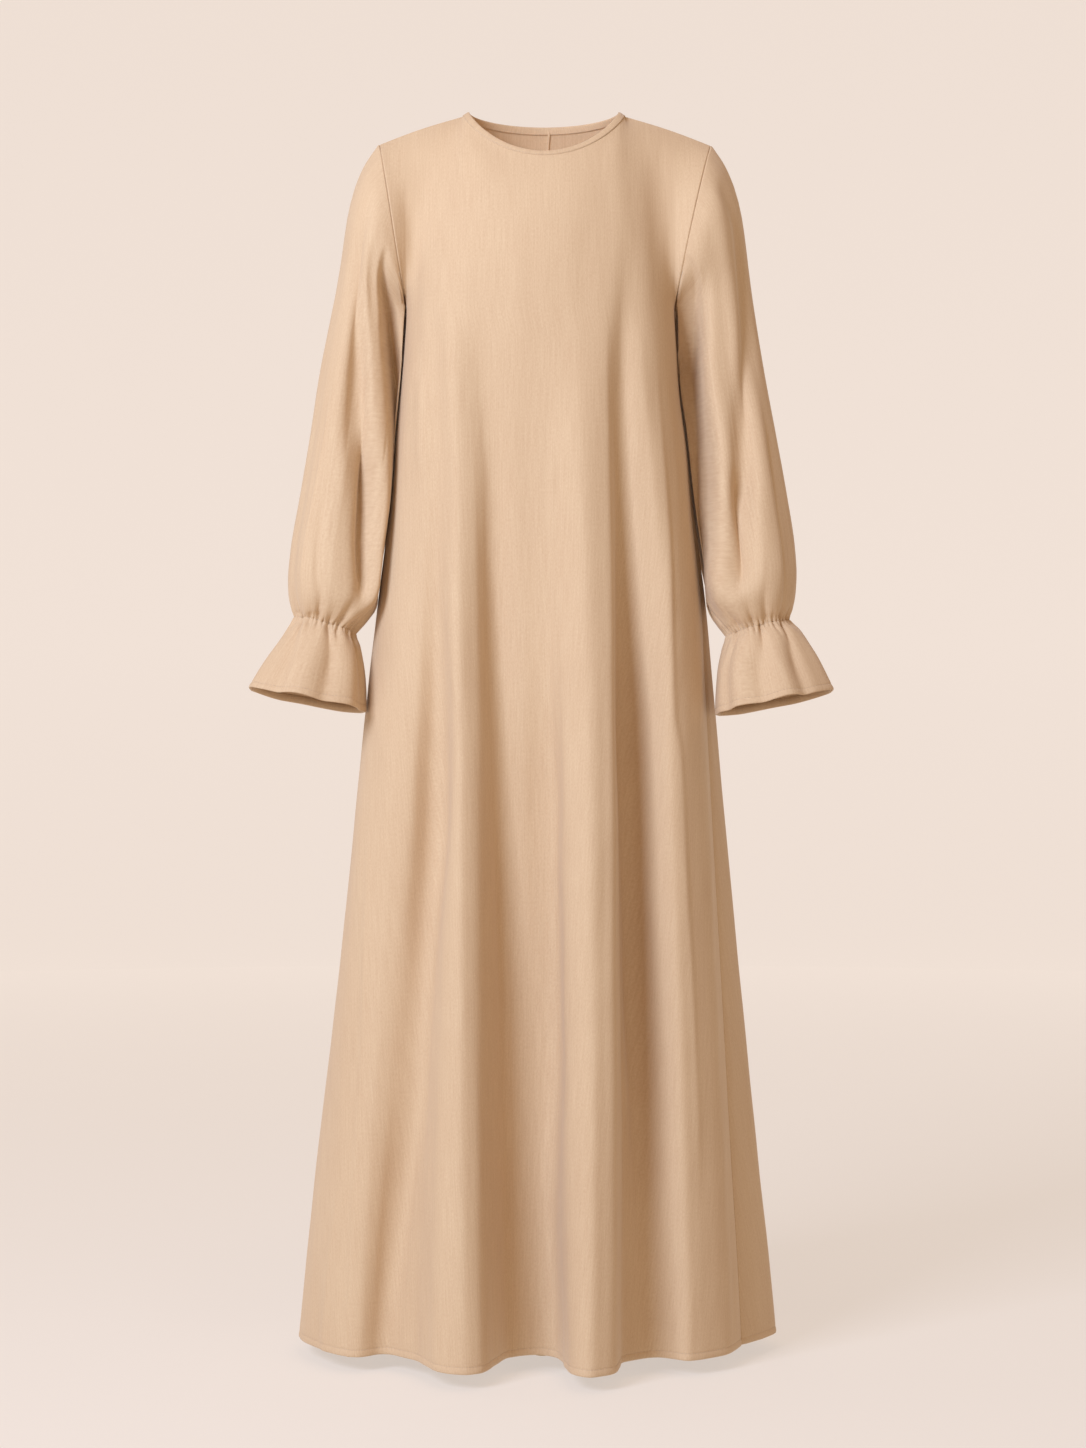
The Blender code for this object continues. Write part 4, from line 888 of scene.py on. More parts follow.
def body_rows(total):
    """Places down a body panel, close together at the seam and the hem."""
    stitch = total - BODY_HEM[0]
    stops = (0.0, 0.0040, 0.0200, 0.2600, total - 0.0200, stitch - 0.0024, stitch,
             stitch + 0.0024, total - 0.0036, total)
    steps = (0.0040, 0.0040, 0.0052, 0.0105, 0.0050, 0.0008, 0.0008, 0.0010, 0.0040)
    return spaced(stops, steps)


def ease_recess(fine):
    """Rounds the front's cloth in the recess beside the second flute, down to the hem."""
    x, z = fine[:, :, 0], fine[:, :, 2]
    start, growth = RECESS_HEIGHT
    middle, half, border = RECESS_PLACE
    share = smooth_step((start - z) / growth) * smooth_step((half - np.abs(x - middle)) / border)
    share = RECESS_SHARE * share[:, 1:-1, None]
    for _ in range(RECESS_PASSES):
        bend = fine[:, :-2] + fine[:, 2:] - 2.0 * fine[:, 1:-1]
        fine[:, 1:-1] += share * bend


def panel_grid(back, first_column, last_column, columns):
    """Fine grid of one body panel on its solid, its rows, its neck columns and its underarm."""
    grid, first, last = coarse_panel(back)
    across = knots_of(turned(grid))
    low, high = across[first_column], across[last_column]
    stops = (low, low + SEAM_MARGIN, high - SEAM_MARGIN, high)
    places = spaced(stops, (SEAM_MARGIN, (high - low) / columns, SEAM_MARGIN))
    neck = (places >= across[first] - 1e-6) & (places <= across[last] + 1e-6)
    fine = turned(resampled(turned(grid), across, places))
    down = knots_of(fine)
    rows = body_rows(down[-1])
    return resampled(fine, down, rows), rows, neck, down[ARMHOLE_ROWS]


def panel_grain(fine, along):
    """Place of the warp across a panel, straight up from the chest to the shoulders."""
    middle = np.argmin(np.abs(fine[-1, :, 0] - NECK_CENTRE_X))
    grain = along - along[:, middle:middle + 1]
    chest = int(np.argmin(np.abs(fine[:, middle, 2] - BODY_ROWS[0])))
    order = np.argsort(fine[chest, :, 0])
    low, high = fine[chest, order[0], 0], fine[chest, order[-1], 0]
    for r in range(chest):
        kept = np.clip(fine[r, :, 0], low, high)
        beyond = np.abs(fine[r, :, 0]) - np.abs(kept)
        grain[r] = np.interp(kept, fine[chest, order, 0], grain[chest, order])
        grain[r] += np.sign(grain[r]) * beyond
    return grain


def hem_relief(rows, hem, ripple=1.0):
    """Stand-out of a hem: a groove along its stitches and a swell below them."""
    height, depth, swell, reach = hem
    gone = (rows[-1] - rows)[:, None]
    full = hump(gone - 0.45 * height, reach)
    return swell * full * ripple - depth * hump(gone - height, HEM_GROOVE_WIDTH)


def body_panel(back, first_column, last_column, columns, sizes):
    """Fine grid of one body panel with its creases, side seam dips and hem."""
    fine, rows, neck, underarm = panel_grid(back, first_column, last_column, columns)
    normals = surface_normals(fine, -1.0, False)
    along = np.cumsum(np.linalg.norm(np.diff(fine, axis=1), axis=2), axis=1)
    along = np.pad(along, ((0, 0), (1, 0)))
    left = along[:, -1:] - along
    fade = smooth_step((along - SEAM_MARGIN) / CREASE_RUN_OUT)
    fade = fade * smooth_step((left - SEAM_MARGIN) / CREASE_RUN_OUT)
    fade = fade * smooth_step((rows[:, None] - 0.004) / 0.030)
    creases = BACK_CREASES if back else FRONT_CREASES
    grain = panel_grain(fine, along)
    stand = crease_stand(creases, fine[:, :, 0], fine[:, :, 2]) * sizes.crease_depth
    stand = stand + unevenness(grain, fine[:, :, 2], 5 if back else 2)
    ripple = 1.0 + 0.5 * np.sin(along * 2 * math.pi / HEM_RIPPLE + 3.0 * np.sin(along * 19.0))
    stand = stand * fade + hem_relief(rows, BODY_HEM, ripple)
    fine = fine + normals * stand[:, :, None]
    seam = np.minimum(along, left)
    if back:
        seam = along if first_column == 0 else left
    dip = SEAM_DIP * hump(seam, SEAM_DIP_WIDTH) * (rows[:, None] > underarm)
    fine[:, :, 0] -= np.sign(fine[:, :, 0]) * dip
    if not back:
        ease_recess(fine)
    return fine, surface_normals(fine, -1.0, False), grain, neck, rows


def neck_directions(points):
    """Direction in which the binding stands up from points of the neck seam."""
    share = np.clip((points[:, 0] - NECK_CENTRE_X) / NECK_SEAM[0], -1.0, 1.0)
    directions = []
    for s, point in zip(share, points):
        angle, back = math.asin(s), point[1] > 0.0
        step = neck_point(NECK_EDGE, angle, back) - neck_point(NECK_SEAM, angle, back)
        directions.append(tuple(step.normalized()))
    return np.array(directions)


def with_edges(fine, normals, grain, neck, first_roll, last_roll):
    """A body panel with its sides turned in, its neck edge raised and its hem rolled."""
    top_rise = unit(fine[1] - fine[0])
    neck_up = neck_directions(fine[0])
    fold = np.array(rolled_lines(fine[0], fine[1], normals[0], SEAM_ROLL))
    raised = [fine[0] + (neck_up if rise >= 0.0 else -top_rise) * rise for rise in NECK_RISE]
    top = np.where(neck[None, :, None], np.array(raised), fold)
    grid = np.concatenate([top, fine[1:]], axis=0)
    grid = rolled_last_row(grid, normals, HEM_ROLL)
    extra = len(SEAM_ROLL) - 1
    normals = np.pad(normals, ((extra, extra), (0, 0), (0, 0)), mode="edge")
    first = rolled_lines(grid[:, 0], grid[:, 1], normals[:, 0], first_roll)
    last = rolled_lines(grid[:, -1], grid[:, -2], normals[:, -1], last_roll)
    first = turned(np.array(first))
    last = turned(np.array(last[::-1]))
    grid = np.concatenate([first, grid[:, 1:-1], last], axis=1)
    return grid, np.pad(grain, extra, mode="edge")


def sleeve_fold_stand(folds, degrees, part):
    """Stand-out of the main folds along a sleeve at the given angles."""
    total = np.zeros_like(degrees)
    fade = 1.0 if part <= 1.0 else max(0.0, 1.0 - (part - 1.0) * 2.0)
    for _, place, spread, upper, elbow, full in folds:
        gap = round_gap(degrees - place)
        depth = smooth_value((0.0, 0.45, 1.0), (upper, elbow, full), min(1.0, part))
        total += depth * fade * hump(gap, spread)
    return total


def section_centre(section):
    """Centre of a sleeve section."""
    return np.array(((section[1] + section[3]) / 2, section[5], (section[2] + section[4]) / 2))


def sleeve_section(section, folds, angles, part):
    """Points of one sleeve section at the given angles from its outer edge."""
    out_x, out_z, in_x, in_z = section[1:5]
    depth, rise = section[6:]
    centre = section_centre(section)
    half = np.array((out_x - in_x, 0.0, out_z - in_z)) / 2
    points = centre + np.cos(angles)[:, None] * half
    points[:, 1] -= depth * np.sin(angles)
    points[:, 2] += rise * np.sin(angles)
    away = unit(points - centre)
    stand = sleeve_fold_stand(folds, np.degrees(angles), part)
    stand = np.where(np.cos(angles) < INNER_SIDE, np.minimum(stand, 0.0), stand)
    return points + away * stand[:, None]


def armhole_points(side, columns):
    """Armhole seam from the shoulder tip round the front to the underarm and back."""
    front = coarse_panel(False)[0]
    back = coarse_panel(True)[0]
    down = front[:ARMHOLE_ROWS + 1, 0 if side == "right" else -1]
    up = back[1:ARMHOLE_ROWS, -1 if side == "right" else 0][::-1]
    loop = np.concatenate([down, up], axis=0)
    loop[:, 0] += OUTWARD[side] * ARMHOLE_GAP
    count = len(loop)
    wrapped = np.concatenate([loop[-2:], loop, loop[:3]], axis=0)[:, None, :]
    places = np.arange(columns) * count / columns
    return resampled(wrapped, np.arange(-2.0, count + 3.0), places)[:, 0]


def sleeve_head(head, upper, following, side, angles):
    """Rows of the sleeve head between the armhole and the upper arm."""
    top = np.cos(angles / 2) ** 2
    turn = np.sin(angles)
    length = np.linalg.norm(upper - head, axis=1)[:, None]
    wide = HEAD_OUT[0] * top + HEAD_OUT[1] * (1 - top) + HEAD_OUT[2] * np.abs(turn)
    drop = (1.0 - HEAD_LIFT[0] * top) * (1.0 - HEAD_LIFT[1] * np.abs(turn))
    leave = unit(np.stack([OUTWARD[side] * wide, -HEAD_FORWARD * turn, -drop], axis=1))
    arrive = unit(upper - following)
    first = head + leave * length * HEAD_REACH
    second = upper + arrive * length * HEAD_REACH
    return [bezier((head, first, second, upper), r / HEAD_ROWS) for r in range(1, HEAD_ROWS)]


def coarse_sleeve(side, angles):
    """Rows of points of a sleeve from its armhole down to the ruffle's hem."""
    sections = SLEEVE_SECTIONS[side]
    top = sections[0][2]
    full = sections[FULLEST_SECTION][2]
    rows = []
    for section in sections:
        part = (section[2] - top) / (full - top)
        rows.append(sleeve_section(section, SLEEVE_FOLDS[side], angles, part))
    head = armhole_points(side, len(angles))
    cap = sleeve_head(head, rows[0], rows[1], side, angles)
    return np.array([head] + cap + rows)


def body_sides(points, right):
    """How far out the side of the body is beside each point."""
    level = np.minimum(points[:, :, 2], LEVELS[0])
    ahead = table_values(LEVELS, FRONT_DEPTH, level)
    behind = table_values(LEVELS, BACK_DEPTH, level)
    power = table_values(LEVELS, FULLNESS, level)
    depth = np.where(points[:, :, 1] > 0.0, behind, ahead)
    ratio = np.minimum(1.0, np.abs(points[:, :, 1]) / depth)
    wide = on_table(SIDES, 1 if right else 2, level)
    return wide * np.maximum(0.0, 1.0 - ratio ** power) ** (1.0 / power)


def tucked(side, fine, degrees, height):
    """The sleeve with its cloth pushed back beside the underarm."""
    table = UNDERARM_TUCKS[side]
    past = (degrees - on_table(table, 1, height)) / TUCK_BORDER
    back = on_table(table, 2, height) * smooth_step(past + 0.5)
    before, after, crease = TUCK_CREASES[side]
    gap = degrees - on_table(crease, 1, height)
    deep = np.interp(height, column(crease[::-1], 0), column(crease[::-1], 2))
    back = back + deep * hump(gap, np.where(gap < 0.0, before, after))
    back = np.where(degrees < 180.0, back, 0.0)
    limit = fine[:, fine.shape[1] // 2, 1][:, None] + TUCK_PAST_MIDDLE
    moved = fine.copy()
    ahead = fine[:, :, 1]
    moved[:, :, 1] = np.minimum(ahead + back, np.maximum(ahead, limit))
    return moved


def wrapped(side, fine, degrees, rows, knots):
    """The sleeve with its inner side bent round the body, but clear of it."""
    out = OUTWARD[side]
    sections = SLEEVE_SECTIONS[side]
    stops = np.concatenate([[0.0], knots[HEAD_ROWS:]])
    shares = [0.0] + [WRAP_SHARE.get(s[0], 1.0) for s in sections]
    widths = [math.hypot(s[1] - s[3], s[2] - s[4]) / 2 for s in sections]
    share = np.interp(rows, stops, shares)[:, None]
    width = np.interp(rows, stops, widths[:1] + widths)[:, None]
    bulge = sum(hump(degrees - angle, WRAP_SPREAD) for angle in WRAP_ANGLES)
    pull = SLEEVE_WRAP * share * width * bulge
    clear = SLEEVE_CLEARANCE * smooth_step(rows / knots[HEAD_ROWS])[:, None]
    near = body_sides(fine, side == "right") + clear
    away = np.maximum(out * fine[:, :, 0] - pull, near)
    moved = fine.copy()
    inner = np.cos(np.radians(degrees)) < 0.0
    moved[:, :, 0] = np.where(inner, out * away, fine[:, :, 0])
    return moved


def gathers(side, degrees, above):
    """Stand-out of the folds and puckers at the elastic; above is the way up from it."""
    total = np.zeros(np.broadcast(degrees, above).shape)
    beat = 1.0 + 0.35 * np.sin(np.radians(degrees * 7 + 20)) * np.cos(np.radians(degrees * 3))
    lean = 38 * np.sin(np.radians(degrees * 5)) + 30 * np.sin(np.radians(degrees * 2 + 40))
    pucker = np.abs(np.sin(np.radians(degrees * PUCKER_COUNT + lean)))
    above = above + 0.0014 * (pucker - 0.6) * hump(above, 0.010)
    gone = np.abs(above)
    for place, up, reach_up, down, reach_down, spread, drift in WRIST_GATHERS[side]:
        middle = place + drift * np.clip(-above / 0.05, 0.0, 1.6)
        gap = round_gap(degrees - middle)
        stand = np.where(above > 0.0, up, down)
        reach = np.where(above > 0.0, reach_up, reach_down)
        near = 0.45 + 0.55 * smooth_step(gone / 0.007)
        wide = spread * (0.75 + 1.0 * gone / 0.05)
        fade = np.exp(-((gone / reach) ** 1.5))
        total += stand * near * fade * np.exp(-np.abs(gap / wide) ** 1.6)
    fade = np.exp(-((gone / np.where(above > 0.0, *PUCKER_REACH)) ** 1.6))
    total += fade * beat * (PUCKER_HEIGHT * pucker ** 0.7 - PUCKER_DEPTH)
    depth, half = ELASTIC_GROOVE
    return total - depth * hump(above, half)


def flutes(side, degrees, below):
    """Stand-out of the waves of the ruffle; below is the way down from the elastic."""
    total = np.zeros(np.broadcast(degrees, below).shape)
    down = np.clip(below / 0.1, 0.0, 1.0)
    grow = smooth_step(below / FLUTE_GROWTH) * (0.7 + 0.3 * down)
    for place, stand, spread in RUFFLE_WAVES[side]:
        lean = 5.0 * math.sin(place * 0.7) * down
        total += stand * grow * hump(round_gap(degrees - place - lean), spread)
    return total


def sleeve_grain(side, fine, rows, upper_place):
    """Place of the warp round a sleeve: straight up through the sleeve head."""
    upper, biceps = [section_centre(section) for section in SLEEVE_SECTIONS[side][:2]]
    climb = (biceps - upper) / (biceps[2] - upper[2])
    centre = biceps + climb * (fine[:, :, 2:3] - biceps[2])
    ahead = -(fine[:, :, 1] - centre[:, :, 1])
    beside = OUTWARD[side] * (fine[:, :, 0] - centre[:, :, 0])
    angle = np.arctan2(ahead, beside) % (2 * math.pi)
    grain = angle * np.hypot(ahead, beside)
    level = int(np.argmin(np.abs(rows - upper_place)))
    grain[level:] = grain[level]
    return grain


def sleeve_row_places(elastic, total):
    """Places down a sleeve, close together at the elastic row and the hem."""
    stitch = total - CUFF_HEM[0]
    stops = (0.0, 0.0040, 0.0280, elastic - 0.0450, elastic - 0.0120, elastic,
             elastic + 0.0120, elastic + 0.0350, total - 0.0180, stitch - 0.0024, stitch,
             stitch + 0.0024, total - 0.0030, total)
    steps = (0.0040, 0.0040, 0.0100, 0.0042, 0.0013, 0.0013, 0.0034, 0.0048, 0.0034,
             0.0008, 0.0008, 0.0010, 0.0030)
    return spaced(stops, steps)


def sleeve_relief(side, degrees, height, waves, sizes):
    """Stand-out of a sleeve's creases and long waves above its wrist."""
    stand = crease_stand(SLEEVE_CREASES[side], degrees + 0.0 * height, height, True)
    inner = np.cos(np.radians(degrees)) < INNER_SIDE
    stand = np.where(inner, np.minimum(stand, 0.0), stand) * sizes.crease_depth
    turn = np.sin(np.radians(degrees) / 2) ** 2
    return stand + waves * smooth_step(turn / 0.02)


def sleeve_surface(side, columns, sizes):
    """Fine grid of one sleeve with its creases, gathers, ruffle and hem."""
    angles = 2 * math.pi * np.arange(columns) / columns
    degrees = np.degrees(angles)[None, :]
    coarse = coarse_sleeve(side, angles)
    knots = knots_of(coarse)
    elastic = knots[HEAD_ROWS + GATHER_SECTION]
    rows = sleeve_row_places(elastic, knots[-1])
    fine = resampled(coarse, knots, rows)
    outward = OUTWARD[side]
    normals = surface_normals(fine, outward, True)
    height = fine[:, :, 2].mean(axis=1)[:, None] + 0.0 * degrees
    above = (elastic - rows)[:, None]
    grain = sleeve_grain(side, fine, rows, knots[HEAD_ROWS])
    waves = unevenness(grain, rows[:, None] + 0.0 * grain, 3 if side == "left" else 4)
    stand = sleeve_relief(side, degrees, height, waves, sizes)
    stand = stand * smooth_step((above - 0.010) / 0.060)
    stand = stand * smooth_step((rows[:, None] - 0.003) / 0.022)
    stand = stand + gathers(side, degrees, above) * sizes.pucker_depth
    stand = stand + flutes(side, degrees, -above) + hem_relief(rows, CUFF_HEM)
    fine = fine + normals * stand[:, :, None]
    fine = tucked(side, fine, degrees, height)
    fine = wrapped(side, fine, degrees, rows, knots)
    return fine, surface_normals(fine, outward, True), grain, rows, elastic


def grid_faces(rows, columns, closed):
    """Four-cornered faces between neighbouring points of a grid."""
    r = np.arange(rows - 1)[:, None]
    c = np.arange(columns if closed else columns - 1)[None, :]
    after = (c + 1) % columns
    low = r + 1
    corners = (r * columns + c, low * columns + c, low * columns + after, r * columns + after)
    return np.stack(corners, axis=-1).reshape(-1, 4)


def rim_faces(rows, columns, closed):
    """Faces that join the two skins of a grid along its free edges."""
    count = rows * columns
    wrap = columns if closed else columns - 1
    c = np.arange(wrap)
    after = (c + 1) % columns
    top = np.stack([c, after, after + count, c + count], axis=-1)
    low = (rows - 1) * columns
    foot = np.stack([low + after, low + c, low + c + count, low + after + count], axis=-1)
    rims = [top, foot]
    if not closed:
        r = np.arange(rows - 1) * columns
        near = np.stack([r + columns, r, r + count, r + columns + count], axis=-1)
        far = r + columns - 1
        rims += [near, np.stack([far, far + columns, far + columns + count, far + count], axis=-1)]
    return np.concatenate(rims, axis=0)


def shell_mesh(name, grid, grain_u, outward, closed, thickness, materials):
    """Thin cloth of even thickness whose outer skin is the grid."""
    rows, columns = grid.shape[:2]
    normals = surface_normals(grid, outward, closed)
    outer = grid.reshape(-1, 3)
    inner = (grid - normals * thickness).reshape(-1, 3)
    skin = grid_faces(rows, columns, closed)
    back = skin[:, ::-1] + rows * columns
    faces = np.concatenate([skin, back, rim_faces(rows, columns, closed)], axis=0)
    if outward < 0.0:
        faces = faces[:, ::-1]
    points = np.concatenate([outer, inner], axis=0)
    grain = np.stack([grain_u, grid[:, :, 2], np.zeros((rows, columns))], axis=-1).reshape(-1, 3)
    return add_mesh(name, points, faces, materials, np.concatenate([grain, grain], axis=0))


def add_mesh(name, points, faces, materials, grain=None):
    """Smooth mesh object in the scene, with the cloth's grain on its points."""
    mesh = bpy.data.meshes.new(name)
    mesh.from_pydata(np.asarray(points).tolist(), [], np.asarray(faces).tolist())
    mesh.polygons.foreach_set("use_smooth", np.ones(len(mesh.polygons), dtype=bool))
    if grain is not None:
        layer = mesh.attributes.new("grain", "FLOAT_VECTOR", "POINT")
        layer.data.foreach_set("vector", np.asarray(grain, dtype=np.float32).ravel())
    for material in materials:
        mesh.materials.append(material)
    mesh.update()
    item = bpy.data.objects.new(name, mesh)
    bpy.context.scene.collection.objects.link(item)
    return item


def along_line(run, values, places):
    """Vectors at the given places along a line."""
    return np.stack([np.interp(places, run, values[:, k]) for k in range(3)], axis=1)


def stitch_points(line, normals, closed, sizes):
    """Centres, directions and outward directions of a row of stitches."""
    if closed:
        line = np.concatenate([line, line[:1]], axis=0)
        normals = np.concatenate([normals, normals[:1]], axis=0)
    run = np.concatenate([[0.0], np.cumsum(np.linalg.norm(np.diff(line, axis=0), axis=1))])
    pitch = sizes.stitch_length + sizes.stitch_gap
    count = int(run[-1] / pitch)
    middle = (np.arange(count) + 0.5) * run[-1] / count
    half = sizes.stitch_length / 2
    along = along_line(run, line, middle + half) - along_line(run, line, middle - half)
    return along_line(run, line, middle), unit(along), unit(along_line(run, normals, middle))


def stitch_faces():
    """Faces of one stitch: its sides and its two ends."""
    faces = []
    for r in range(len(STITCH_RINGS) - 1):
        start = STITCH_SIDES * r
        above = start + STITCH_SIDES
        for k in range(STITCH_SIDES):
            m = (k + 1) % STITCH_SIDES
            faces.append((start + k, start + m, above + m, above + k))
    last = STITCH_SIDES * (len(STITCH_RINGS) - 1)
    for k in range(1, STITCH_SIDES - 2, 2):
        faces.append((0, k + 2, k + 1, k))
        faces.append((last, last + k, last + k + 1, last + k + 2))
    return np.array(faces)


def stitch_row(name, line, normals, closed, sizes):
    """Row of separate stitches, each a short thread that dives into the cloth."""
    centre, along, away = stitch_points(line, normals, closed, sizes)
    side = np.cross(away, along)
    radius = sizes.thread_width / 2
    sway = 0.05 * np.sin(np.arange(len(centre)) * 2.7)[:, None]
    points = []
    for place, thick, lift in STITCH_RINGS:
        middle = centre + (along + side * sway) * (place * sizes.stitch_length)
        middle = middle + away * (lift * radius)
        for k in range(STITCH_SIDES):
            angle = 2 * math.pi * k / STITCH_SIDES
            ring = side * math.cos(angle) + away * math.sin(angle)
            points.append(middle + ring * (radius * thick))
    points = np.stack(points, axis=1)
    starts = np.arange(len(centre))[:, None, None] * points.shape[1]
    faces = (stitch_faces()[None] + starts).reshape(-1, 4)
    return add_mesh(name, points.reshape(-1, 3), faces, [thread_material()])


def stitch_level(rows, place):
    """Row of a fine grid that lies at a place down the cloth."""
    return int(np.argmin(np.abs(rows - place)))


def clothe(item, node, sewn):
    """Ties a piece of cloth and the sewing on it to its solid."""
    for sewing in sewn:
        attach(sewing, "root")
    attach(item, "root")
    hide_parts(node)


def linear(value):
    """Linear red, green and blue of an sRGB hex colour."""
    parts = [int(value[i:i + 2], 16) / 255 for i in (0, 2, 4)]
    return tuple(p / 12.92 if p <= 0.04045 else ((p + 0.055) / 1.055) ** 2.4 for p in parts)


def add_node(tree, kind, links=(), **settings):
    """One shader node with its settings and what feeds its sockets."""
    node = tree.nodes.new(kind)
    values = settings.pop("values", {})
    for name, value in settings.items():
        setattr(node, name, value)
    for socket, value in values.items():
        node.inputs[socket].default_value = value
    for socket, source in links:
        tree.links.new(source, node.inputs[socket])
    return node


def new_material(name, roughness):
    """New material with its node tree and its shader."""
    material = bpy.data.materials.new(name)
    material.use_nodes = True
    shader = material.node_tree.nodes["Principled BSDF"]
    shader.inputs["Roughness"].default_value = roughness
    return material, material.node_tree, shader


def two_tone(tree, shader, factor, deep, light):
    """Base colour that wanders between two colours."""
    colour = add_node(tree, "ShaderNodeMix", [("Factor", factor)], data_type="RGBA")
    colour.inputs["A"].default_value = (*deep, 1.0)
    colour.inputs["B"].default_value = (*light, 1.0)
    tree.links.new(colour.outputs["Result"], shader.inputs["Base Color"])


def grain_noise(tree, grain, scale, **values):
    """Noise of the cloth, drawn out along its grain."""
    way = add_node(tree, "ShaderNodeMapping", [("Vector", grain)], values={"Scale": scale})
    noise = add_node(tree, "ShaderNodeTexNoise", [("Vector", way.outputs["Vector"])],
                     values={"Scale": 1.0, **values})
    return noise.outputs["Fac"]


def crepe_material():
    """Woven viscose crepe: matt, with slubs along the warp and a fine dry grain."""
    found = bpy.data.materials.get("woven_viscose_crepe")
    if found:
        return found
    colours = bpy.context.scene.abaya_cloth
    material, tree, shader = new_material("woven_viscose_crepe", 0.82)
    shader.inputs["Specular IOR Level"].default_value = 0.25
    shader.inputs["Sheen Weight"].default_value = 0.22
    shader.inputs["Sheen Roughness"].default_value = 0.45
    grain = add_node(tree, "ShaderNodeAttribute", attribute_name="grain").outputs["Vector"]
    # Slubs are about 1.6 mm apart and 45 mm long
    slub = grain_noise(tree, grain, (620.0, 22.0, 1.0), Detail=3.0, Roughness=0.6)
    # Crepe yarns are 0.4 mm apart and are drawn at 1.2 mm so that they show
    yarn = grain_noise(tree, grain, (820.0, 300.0, 1.0), Detail=2.0, Roughness=0.7)
    # Wide patches where the cloth took the dye a little darker or lighter
    wide = grain_noise(tree, grain, (14.0, 5.0, 1.0), Detail=2.0)
    both = add_node(tree, "ShaderNodeMix", [("A", slub), ("B", yarn)], values={"Factor": 0.55})
    streak = add_node(tree, "ShaderNodeMapRange", [("Value", both.outputs["Result"])],
                      values={"From Min": 0.33, "From Max": 0.67})
    shade = add_node(tree, "ShaderNodeMapRange", [("Value", wide)],
                     values={"From Min": 0.3, "From Max": 0.7, "To Min": -0.12, "To Max": 0.12})
    links = [(0, streak.outputs["Result"]), (1, shade.outputs["Result"])]
    factor = add_node(tree, "ShaderNodeMath", links, operation="ADD", use_clamp=True)
    two_tone(tree, shader, factor.outputs["Value"], colours.cloth_deep, colours.cloth_light)
    relief = add_node(tree, "ShaderNodeBump", [("Height", both.outputs["Result"])],
                      values={"Strength": 0.35, "Distance": 0.0006})
    tree.links.new(relief.outputs["Normal"], shader.inputs["Normal"])
    return material


def thread_material():
    """Spun polyester sewing thread: slightly lighter and smoother than the cloth."""
    found = bpy.data.materials.get("spun_polyester_thread")
    if found:
        return found
    colours = bpy.context.scene.abaya_cloth
    material, tree, shader = new_material("spun_polyester_thread", 0.55)
    place = add_node(tree, "ShaderNodeNewGeometry").outputs["Position"]
    # The twist of the thread is 0.5 mm long and is drawn at 1 mm
    twist = add_node(tree, "ShaderNodeTexNoise", [("Vector", place)],
                     values={"Scale": 1000.0, "Detail": 1.0})
    shaded = [0.8 * c for c in colours.thread]
    two_tone(tree, shader, twist.outputs["Fac"], shaded, colours.thread)
    return material


def backdrop_material():
    """Painted paper, warm white and matt, with a faint mottle. It glows in its own colour, painted light
    in place of studio lamps on it, a little brighter far off.
    """
    studio = bpy.context.scene.abaya_studio
    material, tree, shader = new_material("painted_paper_sweep", 0.9)
    shader.inputs["Specular IOR Level"].default_value = 0.1
    # Painted light: the paper glows in its own colour, standing in for studio lamps that light it evenly
    shader.inputs["Emission Color"].default_value = (*studio.backdrop, 1.0)
    material.cycles.emission_sampling = "NONE"
    place = add_node(tree, "ShaderNodeNewGeometry").outputs["Position"]
    reach = add_node(tree, "ShaderNodeVectorMath", [("Vector", place)], operation="LENGTH")
    # Painted light: the glow grows a little stronger far off, so the paper brightens away from the
    # garment
    glow = add_node(tree, "ShaderNodeMapRange", [("Value", reach.outputs["Value"])],
                    values={"From Min": 1.5, "From Max": 5.5, "To Min": 0.72, "To Max": 0.81})
    tree.links.new(glow.outputs["Result"], shader.inputs["Emission Strength"])
    mottle = add_node(tree, "ShaderNodeTexNoise", [("Vector", place)],
                      values={"Scale": 2.5, "Detail": 3.0})
    deep, light = [[share * c for c in studio.backdrop] for share in (0.33, 0.34)]
    two_tone(tree, shader, mottle.outputs["Fac"], deep, light)
    return material


def turned_profile(profile, first, last, columns):
    """Surface of a line of (reach, height) turned about the garment, in degrees."""
    angles = np.radians(np.linspace(first, last, columns))
    points = [(r * math.cos(a), r * math.sin(a), z) for r, z in profile for a in angles]
    return points, grid_faces(len(profile), columns, False)


def floor_mesh():
    """Round floor of the studio."""
    reaches = (0.01, 0.5, 1.0, 1.6, 2.4, 3.2, 4.2, FLOOR_REACH)
    return turned_profile([(r, FLOOR_HEIGHT) for r in reaches], 0.0, 360.0, 73)


def wall_mesh(first, last):
    """Wall that curves up out of the floor, over part of a turn."""
    profile = []
    for k in range(13):
        angle = math.pi / 2 * k / 12
        rise = WALL_BEND * (1.0 - math.cos(angle))
        profile.append((FLOOR_REACH + WALL_BEND * math.sin(angle), FLOOR_HEIGHT + rise))
    profile.append((FLOOR_REACH + WALL_BEND, WALL_TOP))
    return turned_profile(profile, first, last, 37)


def add_light(name, place, aim, size, power, colour):
    """Square light that faces its aim."""
    light = bpy.data.lights.new(name, "AREA")
    light.shape = "SQUARE"
    light.size = size
    light.energy = power
    light.color = colour
    item = bpy.data.objects.new(name, light)
    item.location = place
    item.rotation_euler = (Vector(aim) - Vector(place)).to_track_quat("-Z", "Y").to_euler()
    bpy.context.scene.collection.objects.link(item)


def add_room(scene, strength):
    """Warm light from all round, and colours as a plain camera shows them."""
    world = bpy.data.worlds.new("studio_room")
    world.use_nodes = True
    scene.world = world
    room = world.node_tree.nodes["Background"]
    room.inputs["Color"].default_value = ROOM_COLOUR
    room.inputs["Strength"].default_value = strength
    scene.view_settings.view_transform = "Standard"


